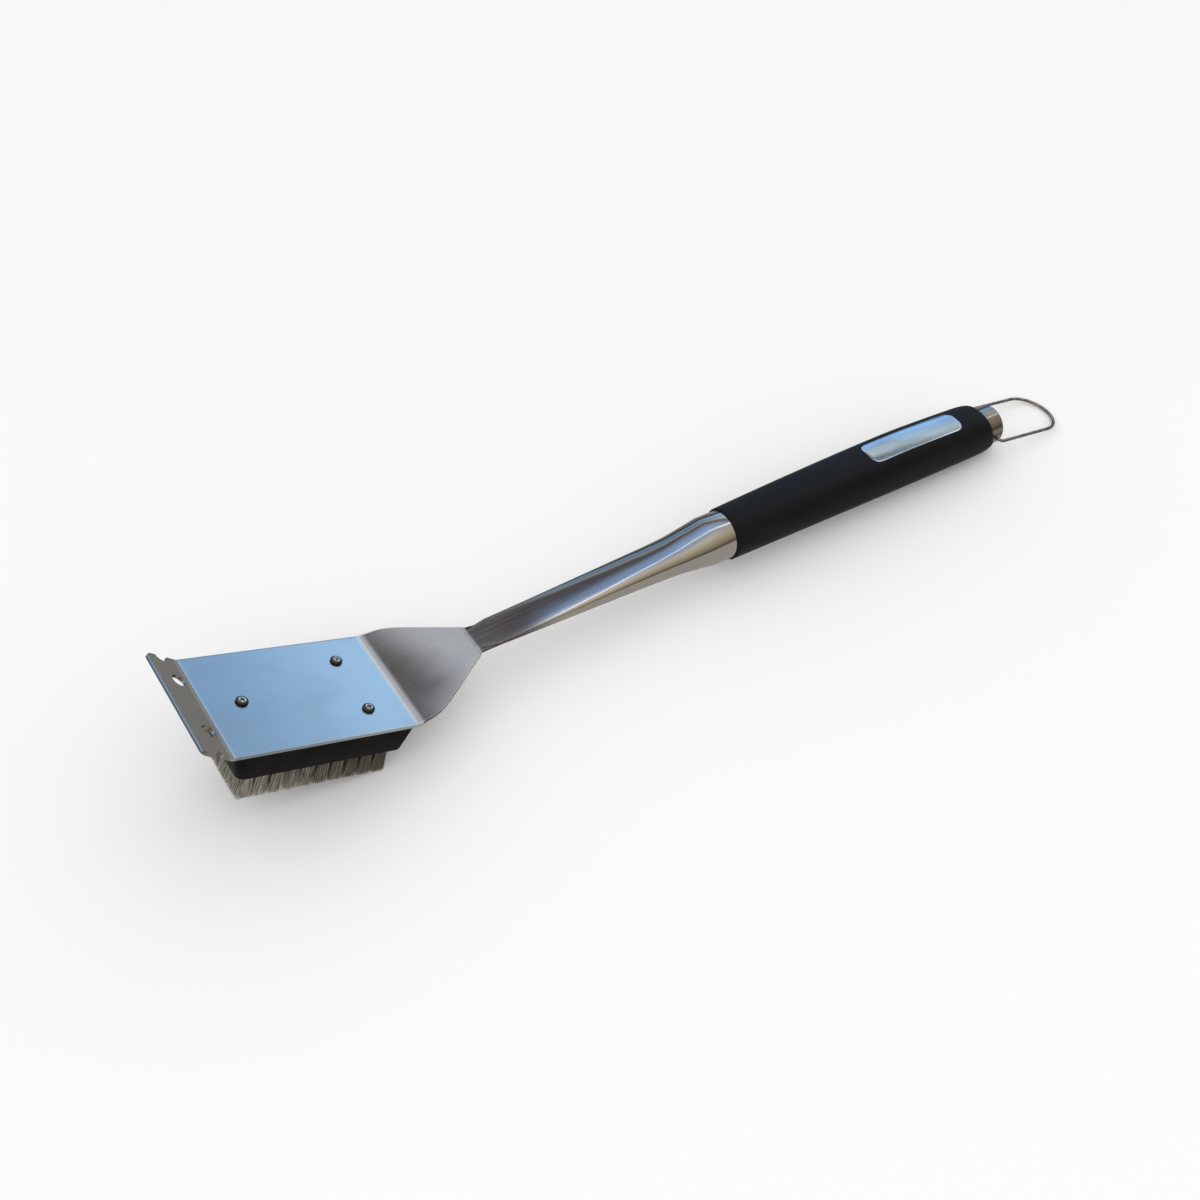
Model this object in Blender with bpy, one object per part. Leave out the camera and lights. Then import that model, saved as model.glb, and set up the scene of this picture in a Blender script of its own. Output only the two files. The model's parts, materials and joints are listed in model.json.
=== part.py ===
"""Long-handled grill cleaning brush with a bent scraper lip, a moulded bristle block and a hanging loop.

The blade is one steel sheet: scraper lip, flat plate, cranked neck, a channel that closes into a tube, and
the tube that runs on inside the grip. It is modelled in the blade frame: the origin on the scraper's bend
line, +X towards the handle, +Z up from the plate's top face. The handle's own frame starts where the neck
meets the shaft and points along the tube. Both frames hang on one empty, which is tilted so that the brush
lies on a table on its bristles and the end of its grip. Metres, +Z up.
"""

import math

import bmesh
import bpy
from mathutils import Matrix, Vector

GAP = 0.0003
CUTTER_REACH = 0.006

# Steel blade: lip, plate and neck
SHEET = 0.0018
PLATE_WIDTH = 0.0665
PLATE_LENGTH = 0.0987
LIP_FORWARD = 0.0160
LIP_RISE = 0.0077
LIP_CORNER = 0.0025
LIP_HOLE_RADIUS = 0.0038
LIP_HOLE_FROM_BEND = 0.0062
LIP_HOLE_Y = 0.0170
LIP_NOTCH_RADIUS = 0.0033
LIP_NOTCH_FROM_BEND = 0.0090
BEND_RADIUS = 0.003
NECK_RUN = 0.0445
NECK_RISE = 0.0198
NECK_SHOULDER = 0.0130
NECK_TAPER = 0.66
NECK_BLEND = 0.0022
STRIP_WIDTH = 0.0182
NECK_STATIONS = (0.006, 0.010, 0.013, 0.016, 0.020, 0.030, 0.040, 0.044)

# Shaft and tube, along the handle's axis from the end of the neck
HANDLE_ANGLE = math.radians(19.8)
AXIS_OVER_STRIP = 0.0010
TUBE_RADIUS = 0.0143
GRIP_START = 0.1625
CORE_RADIUS = 0.0116
SWAGE_LENGTH = 0.0022
TUBE_END = 0.3586
SECTION_POINTS = 17
SHAFT_STATIONS = (0.012, 0.025, 0.040, 0.055, 0.070, 0.085, 0.100, 0.113, 0.125, 0.132, 0.138, 0.144, 0.150)
# distance, half width, top height, centre height, lower depth, squareness, wrap of the lower half
SHAFT_SECTIONS = (
    (0.000, 0.0091, -0.0004, -0.0010, 0.0021, 6.0, 0.25),
    (0.025, 0.0095, 0.0004, -0.0010, 0.0031, 5.0, 0.30),
    (0.050, 0.0099, 0.0022, -0.0010, 0.0042, 4.0, 0.36),
    (0.075, 0.0104, 0.0043, -0.0010, 0.0052, 3.2, 0.44),
    (0.100, 0.0110, 0.0066, -0.0010, 0.0065, 2.6, 0.58),
    (0.125, 0.0119, 0.0090, -0.0008, 0.0086, 2.2, 0.82),
    (0.138, 0.0130, 0.0116, -0.0003, 0.0115, 2.05, 0.95),
    (0.150, 0.0143, 0.0143, 0.0000, 0.0143, 2.0, 0.985),
)

# Brush block and bristles
BLOCK_TOP = (0.0020, 0.0985)
BLOCK_BOTTOM = (0.0069, 0.0960)
BLOCK_TOP_WIDTH = 0.0654
BLOCK_BOTTOM_WIDTH = 0.0629
BLOCK_DEPTH = 0.0183
BLOCK_CORNER = 0.0040
BLOCK_EDGE = 0.0007
TUFTS_ALONG = 10
TUFTS_ACROSS = 7
TUFT_PITCH_X = 0.0081
TUFT_PITCH_Y = 0.0077
TUFT_FIRST_X = 0.0160
TUFT_ROOT_RADIUS = 0.0022
TUFT_TIP_X = 0.0039
TUFT_TIP_Y = 0.0045
TUFT_CORNER = 0.7
TUFT_SEAT = 0.0070
BRISTLE_TIP_Z = -0.0363

# Screws that hold the block under the plate
SCREW_PLACES = (
    ("screw_front", 0.0187, 0.0),
    ("screw_rear_left", 0.0779, 0.0175),
    ("screw_rear_right", 0.0779, -0.0175),
)
SCREW_HOLE_RADIUS = 0.0021
SCREW_RADIUS = 0.0016
SCREW_DEPTH = 0.0095
SCREW_HEAD_RADIUS = 0.0031
SCREW_HEAD_HEIGHT = 0.0016
CROSS_ARM = 0.0018
CROSS_HALF_WIDTH = 0.0004
CROSS_DEPTH = 0.0011
CROSS_TAPER = 0.55

# Grip
GRIP_END = 0.3660
GRIP_STATIONS = (0.164, 0.178, 0.196, 0.215, 0.235, 0.257, 0.278, 0.300, 0.322, 0.340)
GRIP_FRONT_EDGE = 0.0003
GRIP_START_RADIUS = 0.0153
GRIP_CROWN_PEAK = 0.295
GRIP_CROWN_FRONT = 0.133
GRIP_CROWN_REAR = 0.098
GRIP_CROWN_WIDTH = 0.0014
GRIP_CROWN_TOP = 0.0026
GRIP_CROWN_UNDER = -0.0017
GRIP_SQUARENESS = 0.8
GRIP_ROUND_START = 0.3520
GRIP_END_INSET = 0.0020
GRIP_END_LEAN = 0.0045
GRIP_SIDES = 24

# Badge let into the grip's crown
BADGE_START = 0.2675
BADGE_END = 0.3405
BADGE_HALF_WIDTH = 0.0083
BADGE_CORNER = 0.0050
BADGE_CORNER_MOST = 0.96
BADGE_THICKNESS = 0.0010
BADGE_SINK = 0.0002

# End cap, the plug that holds it, and the hanging loop
CAP_RADIUS = 0.0124
CAP_START = 0.3590
CAP_END = 0.3763
CAP_WALL = 0.0010
CAP_RIM = 0.0016
PLUG_START = 0.3380
PLUG_CHAMFER = 0.0015
DRILL_REACH = 0.02
WIRE_RADIUS = 0.0010
LOOP_PIVOT = 0.3700
LOOP_HALF_WIDTH = 0.0168
LOOP_REACH = 0.0620
LOOP_TAIL = 0.0040
LOOP_BEND = 0.0030
LOOP_FLOOR_GAP = 0.0002


def clear_scene():
    for obj in list(bpy.data.objects):
        bpy.data.objects.remove(obj, do_unlink=True)


def material(name, colour, roughness, metallic):
    made = bpy.data.materials.new(name)
    made.use_nodes = True
    shader = made.node_tree.nodes["Principled BSDF"]
    shader.inputs["Base Color"].default_value = (*colour, 1.0)
    shader.inputs["Roughness"].default_value = roughness
    shader.inputs["Metallic"].default_value = metallic
    return made


def place(name, data, parent, finish=None):
    """Links a new object under its frame and gives it its material."""
    obj = bpy.data.objects.new(name, data)
    bpy.context.scene.collection.objects.link(obj)
    obj.parent = parent
    if finish is not None:
        data.materials.append(finish)
    return obj


def frame(name, parent=None, origin=(0.0, 0.0, 0.0), turn_y=0.0):
    empty = bpy.data.objects.new(name, None)
    bpy.context.scene.collection.objects.link(empty)
    empty.parent = parent
    empty.location = origin
    empty.rotation_euler = (0.0, turn_y, 0.0)
    return empty


def smooth(mesh, degrees=35.0):
    mesh.shade_smooth()
    mesh.set_sharp_from_angle(angle=math.radians(degrees))


def mesh_from(name, bm):
    bmesh.ops.recalc_face_normals(bm, faces=bm.faces)
    if bm.calc_volume(signed=True) < 0:
        bmesh.ops.reverse_faces(bm, faces=bm.faces)
    mesh = bpy.data.meshes.new(name)
    bm.to_mesh(mesh)
    bm.free()
    smooth(mesh)
    return mesh


def loft(bm, rings, capped=True):
    """Joins closed rings of equally many points, and closes both ends."""
    loops = [[bm.verts.new(point) for point in ring] for ring in rings]
    count = len(loops[0])
    for first, second in zip(loops, loops[1:]):
        for i in range(count):
            j = (i + 1) % count
            bm.faces.new((first[i], first[j], second[j], second[i]))
    if capped:
        bm.faces.new(loops[0])
        bm.faces.new(loops[-1])
    return loops


def hide_guide(obj):
    obj.hide_render = True
    obj.display_type = "WIRE"


def boolean(obj, cutter, operation="DIFFERENCE"):
    modifier = obj.modifiers.new(cutter.name, "BOOLEAN")
    modifier.operation = operation
    modifier.object = cutter
    modifier.solver = "EXACT"
    hide_guide(cutter)


def circle(radius, sides, turn=0.0):
    return [
        (radius * math.cos(turn + math.tau * i / sides), radius * math.sin(turn + math.tau * i / sides))
        for i in range(sides)
    ]


def cross_drill(name):
    """A cutter along Y for one hole straight through, a gap wider than the loop's wire."""
    bm = bmesh.new()
    rim = circle(WIRE_RADIUS + GAP, 10, math.pi / 10)
    loft(bm, [[Vector((x, y, z)) for x, z in rim] for y in (-DRILL_REACH, DRILL_REACH)])
    return mesh_from(name, bm)


def read_table(table, at):
    """Reads every column of a table of sections at one distance, with smooth slopes through its rows."""
    if at <= table[0][0]:
        return table[0][1:]
    if at >= table[-1][0]:
        return table[-1][1:]
    k = max(i for i in range(len(table) - 1) if table[i][0] <= at)
    before, low, high, after = table[max(k - 1, 0)], table[k], table[k + 1], table[min(k + 2, len(table) - 1)]
    span = high[0] - low[0]
    t = (at - low[0]) / span
    values = []
    for a, b, c, d in zip(before[1:], low[1:], high[1:], after[1:]):
        slope_low = (c - a) / (high[0] - before[0]) * span
        slope_high = (d - b) / (after[0] - low[0]) * span
        values.append(
            b * (2 * t**3 - 3 * t**2 + 1)
            + slope_low * (t**3 - 2 * t**2 + t)
            + c * (3 * t**2 - 2 * t**3)
            + slope_high * (t**3 - t**2)
        )
    return values


# --- Blade -----------------------------------------------------------------------------------------------


def flat_section(half_width):
    return [(half_width * (2 * i / (SECTION_POINTS - 1) - 1), 0.0) for i in range(SECTION_POINTS)]


def shaft_section(at):
    """The channel's outer line from edge to edge: rounded web on top, sides that curl in underneath."""
    half_width, top, centre, depth, squareness, wrap = read_table(SHAFT_SECTIONS, at)
    points = []
    for i in range(SECTION_POINTS):
        u = 2 * i / (SECTION_POINTS - 1) - 1
        angle = math.pi / 2 - abs(u) * (math.pi / 2) * (1 + wrap)
        y = math.copysign(half_width * abs(math.cos(angle)) ** (2 / squareness), u)
        reach = abs(math.sin(angle)) ** (2 / squareness)
        points.append((y if u else 0.0, centre + ((top - centre) * reach if angle > 0 else -depth * reach)))
    return points


def core_section(radius):
    """The closed tube's outer line, with the sheet's two edges just short of meeting underneath."""
    wrap = SHAFT_SECTIONS[-1][-1]
    points = []
    for i in range(SECTION_POINTS):
        u = 2 * i / (SECTION_POINTS - 1) - 1
        angle = math.pi / 2 * (1 - u * (1 + wrap))
        points.append((radius * math.cos(angle), radius * math.sin(angle)))
    return points


def sheet_ring(section, origin, angle):
    """One closed ring across the sheet: its outer line, then the same line one sheet thickness further in."""
    inner = []
    for i, (y, n) in enumerate(section):
        y0, n0 = section[max(i - 1, 0)]
        y1, n1 = section[min(i + 1, len(section) - 1)]
        length = math.hypot(y1 - y0, n1 - n0)
        inner.append((y + SHEET * (n1 - n0) / length, n - SHEET * (y1 - y0) / length))
    along_n = Vector((-math.sin(angle), 0.0, math.cos(angle)))
    return [origin + Vector((0.0, y, 0.0)) + n * along_n for y, n in section + inner[::-1]]


def bend_stations(corner, angle_in, angle_out, steps=3):
    """Places and slopes round one bend of the sheet's top face, on an arc."""
    reach = BEND_RADIUS * math.tan(abs(angle_out - angle_in) / 2)
    start = corner - reach * Vector((math.cos(angle_in), 0.0, math.sin(angle_in)))
    end = corner + reach * Vector((math.cos(angle_out), 0.0, math.sin(angle_out)))
    stations = []
    for i in range(steps):
        t = i / (steps - 1)
        at = start * (1 - t) ** 2 + corner * (2 * t * (1 - t)) + end * t**2
        stations.append((at, angle_in + (angle_out - angle_in) * t))
    return stations


def neck_half_width(distance):
    """Half the neck's width: full at the plate, round shoulders, straight tapering sides, then the strip."""
    full, strip = PLATE_WIDTH / 2, STRIP_WIDTH / 2
    tapering = full - NECK_TAPER * (distance - NECK_SHOULDER)
    rounded = (full + tapering - math.hypot(full - tapering, 2 * NECK_BLEND)) / 2
    return (rounded + strip + math.hypot(rounded - strip, NECK_BLEND)) / 2


def lip_half_width(distance):
    """Half the lip's width, with its two front corners rounded off."""
    into = max(LIP_CORNER - distance, 0.0)
    return PLATE_WIDTH / 2 - LIP_CORNER + math.sqrt(max(LIP_CORNER**2 - into**2, 0.0))


def handle_origin():
    over = Vector((-math.sin(HANDLE_ANGLE), 0.0, math.cos(HANDLE_ANGLE)))
    return Vector((PLATE_LENGTH + NECK_RUN, 0.0, NECK_RISE)) + AXIS_OVER_STRIP * over


def blade_rings():
    lip_angle = -math.atan2(LIP_RISE, LIP_FORWARD)
    lip_along = Vector((math.cos(lip_angle), 0.0, math.sin(lip_angle)))
    lip_tip = Vector((-LIP_FORWARD, 0.0, LIP_RISE))
    neck_angle = math.atan2(NECK_RISE, NECK_RUN)
    neck_along = Vector((math.cos(neck_angle), 0.0, math.sin(neck_angle)))
    rear_bend = Vector((PLATE_LENGTH, 0.0, 0.0))
    rings = []
    for share in (0.0, 0.16, 0.44, 1.0):
        distance = share * LIP_CORNER
        section = flat_section(lip_half_width(distance))
        rings.append(sheet_ring(section, lip_tip + distance * lip_along, lip_angle))
    for place_at, angle in bend_stations(Vector((0.0, 0.0, 0.0)), lip_angle, 0.0):
        rings.append(sheet_ring(flat_section(PLATE_WIDTH / 2), place_at, angle))
    for place_at, angle in bend_stations(rear_bend, 0.0, neck_angle):
        rings.append(sheet_ring(flat_section(PLATE_WIDTH / 2), place_at, angle))
    for distance in NECK_STATIONS:
        section = flat_section(neck_half_width(distance))
        rings.append(sheet_ring(section, rear_bend + distance * neck_along, neck_angle))
    return rings + shaft_rings()


def shaft_rings():
    origin = handle_origin()
    along = Vector((math.cos(HANDLE_ANGLE), 0.0, math.sin(HANDLE_ANGLE)))
    strip = [(y, -AXIS_OVER_STRIP) for y, _ in flat_section(STRIP_WIDTH / 2)]
    rings = [sheet_ring(strip, origin, HANDLE_ANGLE)]
    for distance in SHAFT_STATIONS:
        rings.append(sheet_ring(shaft_section(distance), origin + distance * along, HANDLE_ANGLE))
    core_start = GRIP_START + SWAGE_LENGTH
    for distance, radius in ((GRIP_START, TUBE_RADIUS), (core_start, CORE_RADIUS), (TUBE_END, CORE_RADIUS)):
        rings.append(sheet_ring(core_section(radius), origin + distance * along, HANDLE_ANGLE))
    return rings


def blade_mesh():
    bm = bmesh.new()
    loops = loft(bm, blade_rings(), capped=False)
    last = len(loops[0]) - 1
    for end in (loops[0], loops[-1]):
        for i in range(SECTION_POINTS - 1):
            bm.faces.new((end[i], end[i + 1], end[last - i - 1], end[last - i]))
    return mesh_from("blade", bm)


def blade_cutters(parent):
    """Two holes and two end notches in the lip, and three screw holes in the plate, as one set of cutters."""
    lip_angle = math.atan2(LIP_RISE, LIP_FORWARD)
    bm = bmesh.new()
    places = [(LIP_HOLE_FROM_BEND, side * LIP_HOLE_Y, LIP_HOLE_RADIUS) for side in (-1, 1)]
    places += [(LIP_NOTCH_FROM_BEND, side * PLATE_WIDTH / 2, LIP_NOTCH_RADIUS) for side in (-1, 1)]
    for distance, y, radius in places:
        centre = Vector((-distance * math.cos(lip_angle), y, distance * math.sin(lip_angle)))
        turn = Matrix.Rotation(lip_angle, 3, "Y")
        rim = circle(radius, 14)
        loft(bm, [[centre + turn @ Vector((a, b, z)) for a, b in rim] for z in (-CUTTER_REACH, CUTTER_REACH)])
    for _, x, y in SCREW_PLACES:
        rim = circle(SCREW_HOLE_RADIUS, 12)
        loft(bm, [[Vector((x + a, y + b, z)) for a, b in rim] for z in (-CUTTER_REACH, CUTTER_REACH)])
    return place("blade_cutters", mesh_from("blade_cutters", bm), parent)


def build_blade(parent):
    steel = material("brushed_steel", (0.60, 0.61, 0.62), 0.28, 1.0)
    blade = place("blade", blade_mesh(), parent, steel)
    boolean(blade, blade_cutters(parent))


# --- Brush head ------------------------------------------------------------------------------------------


def rounded_outline(low_x, high_x, width, steps=4):
    """A rectangle with the block's round corners, as points anticlockwise."""
    points = []
    corner = BLOCK_CORNER
    centres = ((high_x - corner, width / 2 - corner), (low_x + corner, width / 2 - corner))
    centres += ((low_x + corner, -width / 2 + corner), (high_x - corner, -width / 2 + corner))
    for quarter, (x, y) in enumerate(centres):
        for i in range(steps + 1):
            angle = math.pi / 2 * (quarter + i / steps)
            points.append((x + corner * math.cos(angle), y + corner * math.sin(angle)))
    return points


def tuft_places():
    for i in range(TUFTS_ALONG):
        for j in range(TUFTS_ACROSS):
            yield TUFT_FIRST_X + i * TUFT_PITCH_X, (j - (TUFTS_ACROSS - 1) / 2) * TUFT_PITCH_Y


def build_block(parent):
    black = material("black_nylon", (0.012, 0.012, 0.011), 0.5, 0.0)
    top, bottom = -SHEET - GAP, -BLOCK_DEPTH
    bm = bmesh.new()
    low_x, high_x = BLOCK_BOTTOM
    sections = (
        (top, *BLOCK_TOP, BLOCK_TOP_WIDTH),
        (bottom + BLOCK_EDGE, low_x, high_x, BLOCK_BOTTOM_WIDTH),
        (bottom, low_x + BLOCK_EDGE, high_x - BLOCK_EDGE, BLOCK_BOTTOM_WIDTH - 2 * BLOCK_EDGE),
    )
    loft(bm, [[Vector((x, y, z)) for x, y in rounded_outline(a, b, width)] for z, a, b, width in sections])
    block = place("brush_block", mesh_from("brush_block", bm), parent, black)
    bm = bmesh.new()
    for x, y in tuft_places():
        rim = circle(TUFT_ROOT_RADIUS + GAP, 8, math.pi / 8)
        heights = (bottom - CUTTER_REACH, bottom + TUFT_SEAT + GAP)
        loft(bm, [[Vector((x + a, y + b, z)) for a, b in rim] for z in heights])
    for _, x, y in SCREW_PLACES:
        rim = circle(SCREW_RADIUS + GAP, 12)
        heights = (-SCREW_DEPTH - GAP, CUTTER_REACH)
        loft(bm, [[Vector((x + a, y + b, z)) for a, b in rim] for z in heights])
    boolean(block, place("block_cutters", mesh_from("block_cutters", bm), parent))


def tuft_rings(y):
    """A tuft seated in its hole, straight inside the block and flaring below it to a wide tip."""
    root = [Vector((a, y + b, 0.0)) for a, b in circle(TUFT_ROOT_RADIUS, 8, math.pi / 8)]
    c = TUFT_CORNER
    outline = ((1, c), (c, 1), (-c, 1), (-1, c), (-1, -c), (-c, -1), (c, -1), (1, -c))
    tip = [Vector((TUFT_TIP_X * a, y + TUFT_TIP_Y * b, 0.0)) for a, b in outline]
    down = [Vector((0.0, 0.0, z)) for z in (-BLOCK_DEPTH + TUFT_SEAT, -BLOCK_DEPTH, BRISTLE_TIP_Z)]
    return [[p + down[0] for p in root], [p + down[1] for p in root], [p + down[2] for p in tip]]


def build_bristles(parent):
    """Ten rows of tufts. The flared tips of a row's neighbours run together, so that a row is one body."""
    wire = material("bristle_wire", (0.42, 0.40, 0.36), 0.4, 1.0)
    middle = (TUFTS_ACROSS - 1) / 2
    meshes = []
    for chosen in (0, 1):
        bm = bmesh.new()
        for j in range(chosen, TUFTS_ACROSS, 2):
            loft(bm, tuft_rings((j - middle) * TUFT_PITCH_Y))
        meshes.append(mesh_from(f"bristle_half_{chosen}", bm))
    meshes[0].materials.append(wire)
    for i in range(TUFTS_ALONG):
        row = place(f"bristle_row_{i + 1:02d}", meshes[0], parent)
        rest = place(f"bristle_guide_{i + 1:02d}", meshes[1], parent)
        row.location.x = rest.location.x = TUFT_FIRST_X + i * TUFT_PITCH_X
        boolean(row, rest, "UNION")


def lathe(bm, profile, sides):
    """Turns a profile of (radius, height) about Z. A radius of zero closes the shape with one point."""
    rings = []
    for radius, z in profile:
        if radius == 0.0:
            rings.append([bm.verts.new((0.0, 0.0, z))])
        else:
            rings.append([bm.verts.new((x, y, z)) for x, y in circle(radius, sides)])
    for first, second in zip(rings, rings[1:]):
        for i in range(sides):
            j = (i + 1) % sides
            near = [first[i % len(first)], first[j % len(first)]]
            far = [second[j % len(second)], second[i % len(second)]]
            bm.faces.new(list(dict.fromkeys(near + far)))


def build_screws(parent):
    zinc = material("screw_steel", (0.55, 0.54, 0.50), 0.25, 1.0)
    top = GAP + SCREW_HEAD_HEIGHT
    bm = bmesh.new()
    lathe(
        bm,
        (
            (0.0, -SCREW_DEPTH),
            (SCREW_RADIUS, -SCREW_DEPTH + 0.0012),
            (SCREW_RADIUS, GAP),
            (SCREW_HEAD_RADIUS, GAP),
            (SCREW_HEAD_RADIUS, top - 0.0014),
            (SCREW_HEAD_RADIUS - 0.0004, top - 0.0008),
            (SCREW_HEAD_RADIUS - 0.0012, top - 0.0003),
            (0.0, top),
        ),
        16,
    )
    shape = mesh_from("screw", bm)
    shape.materials.append(zinc)
    bm = bmesh.new()
    half = CROSS_HALF_WIDTH
    outline = []
    for quarter in range(4):
        turn = Matrix.Rotation(-math.pi / 2 * quarter, 3, "Z")
        for x, y in ((half, half), (CROSS_ARM, half), (CROSS_ARM, -half)):
            outline.append(turn @ Vector((x, y, 0.0)))
    low = [Vector((p.x * CROSS_TAPER, p.y * CROSS_TAPER, top - CROSS_DEPTH)) for p in outline]
    loft(bm, [low, [Vector((p.x, p.y, top + GAP)) for p in outline]])
    cross = mesh_from("screw_cross", bm)
    for turn, (name, x, y) in enumerate(SCREW_PLACES):
        screw = place(name, shape, parent)
        cutter = place(f"{name}_cross", cross, parent)
        for obj in (screw, cutter):
            obj.location = (x, y, 0.0)
            obj.rotation_euler.z = math.radians(20 + 35 * turn)
        boolean(screw, cutter)


# --- Handle ----------------------------------------------------------------------------------------------


def grip_size(at):
    """Half width, height above the axis, depth below it and squareness of the top, at a distance."""
    reach = GRIP_CROWN_FRONT if at < GRIP_CROWN_PEAK else GRIP_CROWN_REAR
    crown = max(1 - abs((at - GRIP_CROWN_PEAK) / reach) ** 1.5, 0.0)
    return (
        GRIP_START_RADIUS + GRIP_CROWN_WIDTH * crown,
        GRIP_START_RADIUS + GRIP_CROWN_TOP * crown,
        GRIP_START_RADIUS + GRIP_CROWN_UNDER * crown,
        2 + GRIP_SQUARENESS * crown,
    )


def grip_top(at, y):
    """Height of the grip's top surface over the handle's axis."""
    half_width, height, _, squareness = grip_size(at)
    return height * (1 - abs(y / half_width) ** squareness) ** (1 / squareness)


def grip_ring(at, inset=0.0, lean=0.0):
    half_width, height, depth, squareness = grip_size(at)
    ring = []
    for i in range(GRIP_SIDES):
        angle = math.tau * i / GRIP_SIDES
        power = 2 / squareness if math.sin(angle) > 0 else 1.0
        y = math.copysign(abs(math.cos(angle)) ** power, math.cos(angle)) * (half_width - inset)
        n = math.copysign(abs(math.sin(angle)) ** power, math.sin(angle))
        n *= (height if n > 0 else depth) - inset
        ring.append(Vector((at - lean * n / GRIP_START_RADIUS, y, n)))
    return ring


def bore_ring(at, radius, lean=0.0):
    turned = circle(radius, GRIP_SIDES)
    return [Vector((at - lean * n / GRIP_START_RADIUS, y, n)) for y, n in turned]


def grip_rings():
    bore = CORE_RADIUS + GAP
    front = GRIP_START + GAP
    rings = [bore_ring(GRIP_CROWN_PEAK, bore), bore_ring(front + SWAGE_LENGTH + GAP, bore)]
    rings += [bore_ring(front, TUBE_RADIUS), grip_ring(front, inset=GRIP_FRONT_EDGE)]
    for distance in GRIP_STATIONS:
        rings.append(grip_ring(distance))
    for i in range(6):
        t = i / 5
        at = GRIP_ROUND_START + (GRIP_END - GRIP_ROUND_START) * math.sin(t * math.pi / 2)
        inset = GRIP_END_INSET * (1 - math.cos(t * math.pi / 2))
        rings.append(grip_ring(at, inset=inset, lean=GRIP_END_LEAN * t))
    rings.append(bore_ring(GRIP_END - GAP, CAP_RADIUS + GAP, lean=GRIP_END_LEAN))
    rings.append(bore_ring(CAP_START - GAP, CAP_RADIUS + GAP))
    rings.append(bore_ring(CAP_START - 2 * GAP, bore))
    return rings


def crown_patch(name, grown, low, high):
    """A plate with rounded corners that follows the grip's crown, between two heights off its surface."""
    half, corner = BADGE_HALF_WIDTH + grown, BADGE_CORNER + grown
    start, end = BADGE_START - grown, BADGE_END + grown
    across = [half * math.sin(math.pi / 2 * (i / 5 - 1)) for i in range(11)]
    bm = bmesh.new()
    sheets = []
    for off in (low, high):
        rows = []
        for y in across:
            into = max(abs(y) - (half - corner), 0.0)
            inset = min(corner - math.sqrt(max(corner**2 - into**2, 0.0)), corner * BADGE_CORNER_MOST)
            stops = [start + inset + (end - start - 2 * inset) * k / 4 for k in range(5)]
            rows.append([bm.verts.new((x, y, grip_top(x, y) + off)) for x in stops])
        sheets.append(rows)
    low_rows, high_rows = sheets
    for i in range(len(across) - 1):
        for k in range(4):
            for rows in (low_rows, high_rows):
                bm.faces.new((rows[i][k], rows[i][k + 1], rows[i + 1][k + 1], rows[i + 1][k]))
        for k in (0, 4):
            bm.faces.new((low_rows[i][k], low_rows[i + 1][k], high_rows[i + 1][k], high_rows[i][k]))
    for k in range(4):
        for i in (0, len(across) - 1):
            bm.faces.new((low_rows[i][k], low_rows[i][k + 1], high_rows[i][k + 1], high_rows[i][k]))
    return mesh_from(name, bm)


def build_grip(parent):
    rubber = material("grip_rubber", (0.010, 0.011, 0.013), 0.6, 0.0)
    bm = bmesh.new()
    loops = loft(bm, grip_rings(), capped=False)
    for i in range(GRIP_SIDES):
        j = (i + 1) % GRIP_SIDES
        bm.faces.new((loops[-1][i], loops[-1][j], loops[0][j], loops[0][i]))
    grip = place("grip", mesh_from("grip", bm), parent, rubber)
    under = -BADGE_THICKNESS - BADGE_SINK
    pocket = crown_patch("badge_pocket", GAP, under - GAP, CUTTER_REACH)
    boolean(grip, place("badge_pocket", pocket, parent))
    steel = material("badge_steel", (0.66, 0.68, 0.70), 0.15, 1.0)
    place("badge", crown_patch("badge", 0.0, under, -BADGE_SINK), parent, steel)


def turned_mesh(name, profile, sides=24):
    """Turns a profile of (distance, radius) about the handle's axis."""
    bm = bmesh.new()
    lathe(bm, [(radius, at) for at, radius in profile], sides)
    bmesh.ops.transform(bm, verts=bm.verts, matrix=Matrix.Rotation(math.pi / 2, 4, "Y"))
    return mesh_from(name, bm)


def build_cap(parent):
    steel = material("cap_steel", (0.55, 0.54, 0.52), 0.3, 1.0)
    inner = CAP_RADIUS - CAP_WALL
    profile = [(CAP_END, 0.0)]
    for i in range(5):
        angle = math.pi / 2 * i / 4
        inset = CAP_RIM * (1 - math.sin(angle))
        profile.append((CAP_END - CAP_RIM * (1 - math.cos(angle)), CAP_RADIUS - inset))
    profile += [(CAP_START, CAP_RADIUS), (CAP_START, inner)]
    profile += [(CAP_END - CAP_WALL, inner), (CAP_END - CAP_WALL, 0.0)]
    cap = place("end_cap", turned_mesh("end_cap", profile), parent, steel)
    black = material("plug_nylon", (0.02, 0.02, 0.02), 0.5, 0.0)
    tube_bore = CORE_RADIUS - SHEET - GAP
    profile = [(CAP_END - CAP_WALL - GAP, 0.0), (CAP_END - CAP_WALL - GAP, inner - GAP)]
    profile += [(TUBE_END + GAP, inner - GAP), (TUBE_END + GAP, tube_bore)]
    profile += [(PLUG_START + PLUG_CHAMFER, tube_bore), (PLUG_START, tube_bore - PLUG_CHAMFER)]
    profile.append((PLUG_START, 0.0))
    plug = place("tube_plug", turned_mesh("tube_plug", profile, 20), parent, black)
    for obj in (cap, plug):
        drill = cross_drill(f"{obj.name}_drill")
        cutter = place(f"{obj.name}_drill", drill, parent)
        cutter.location.x = LOOP_PIVOT
        boolean(obj, cutter)


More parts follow.
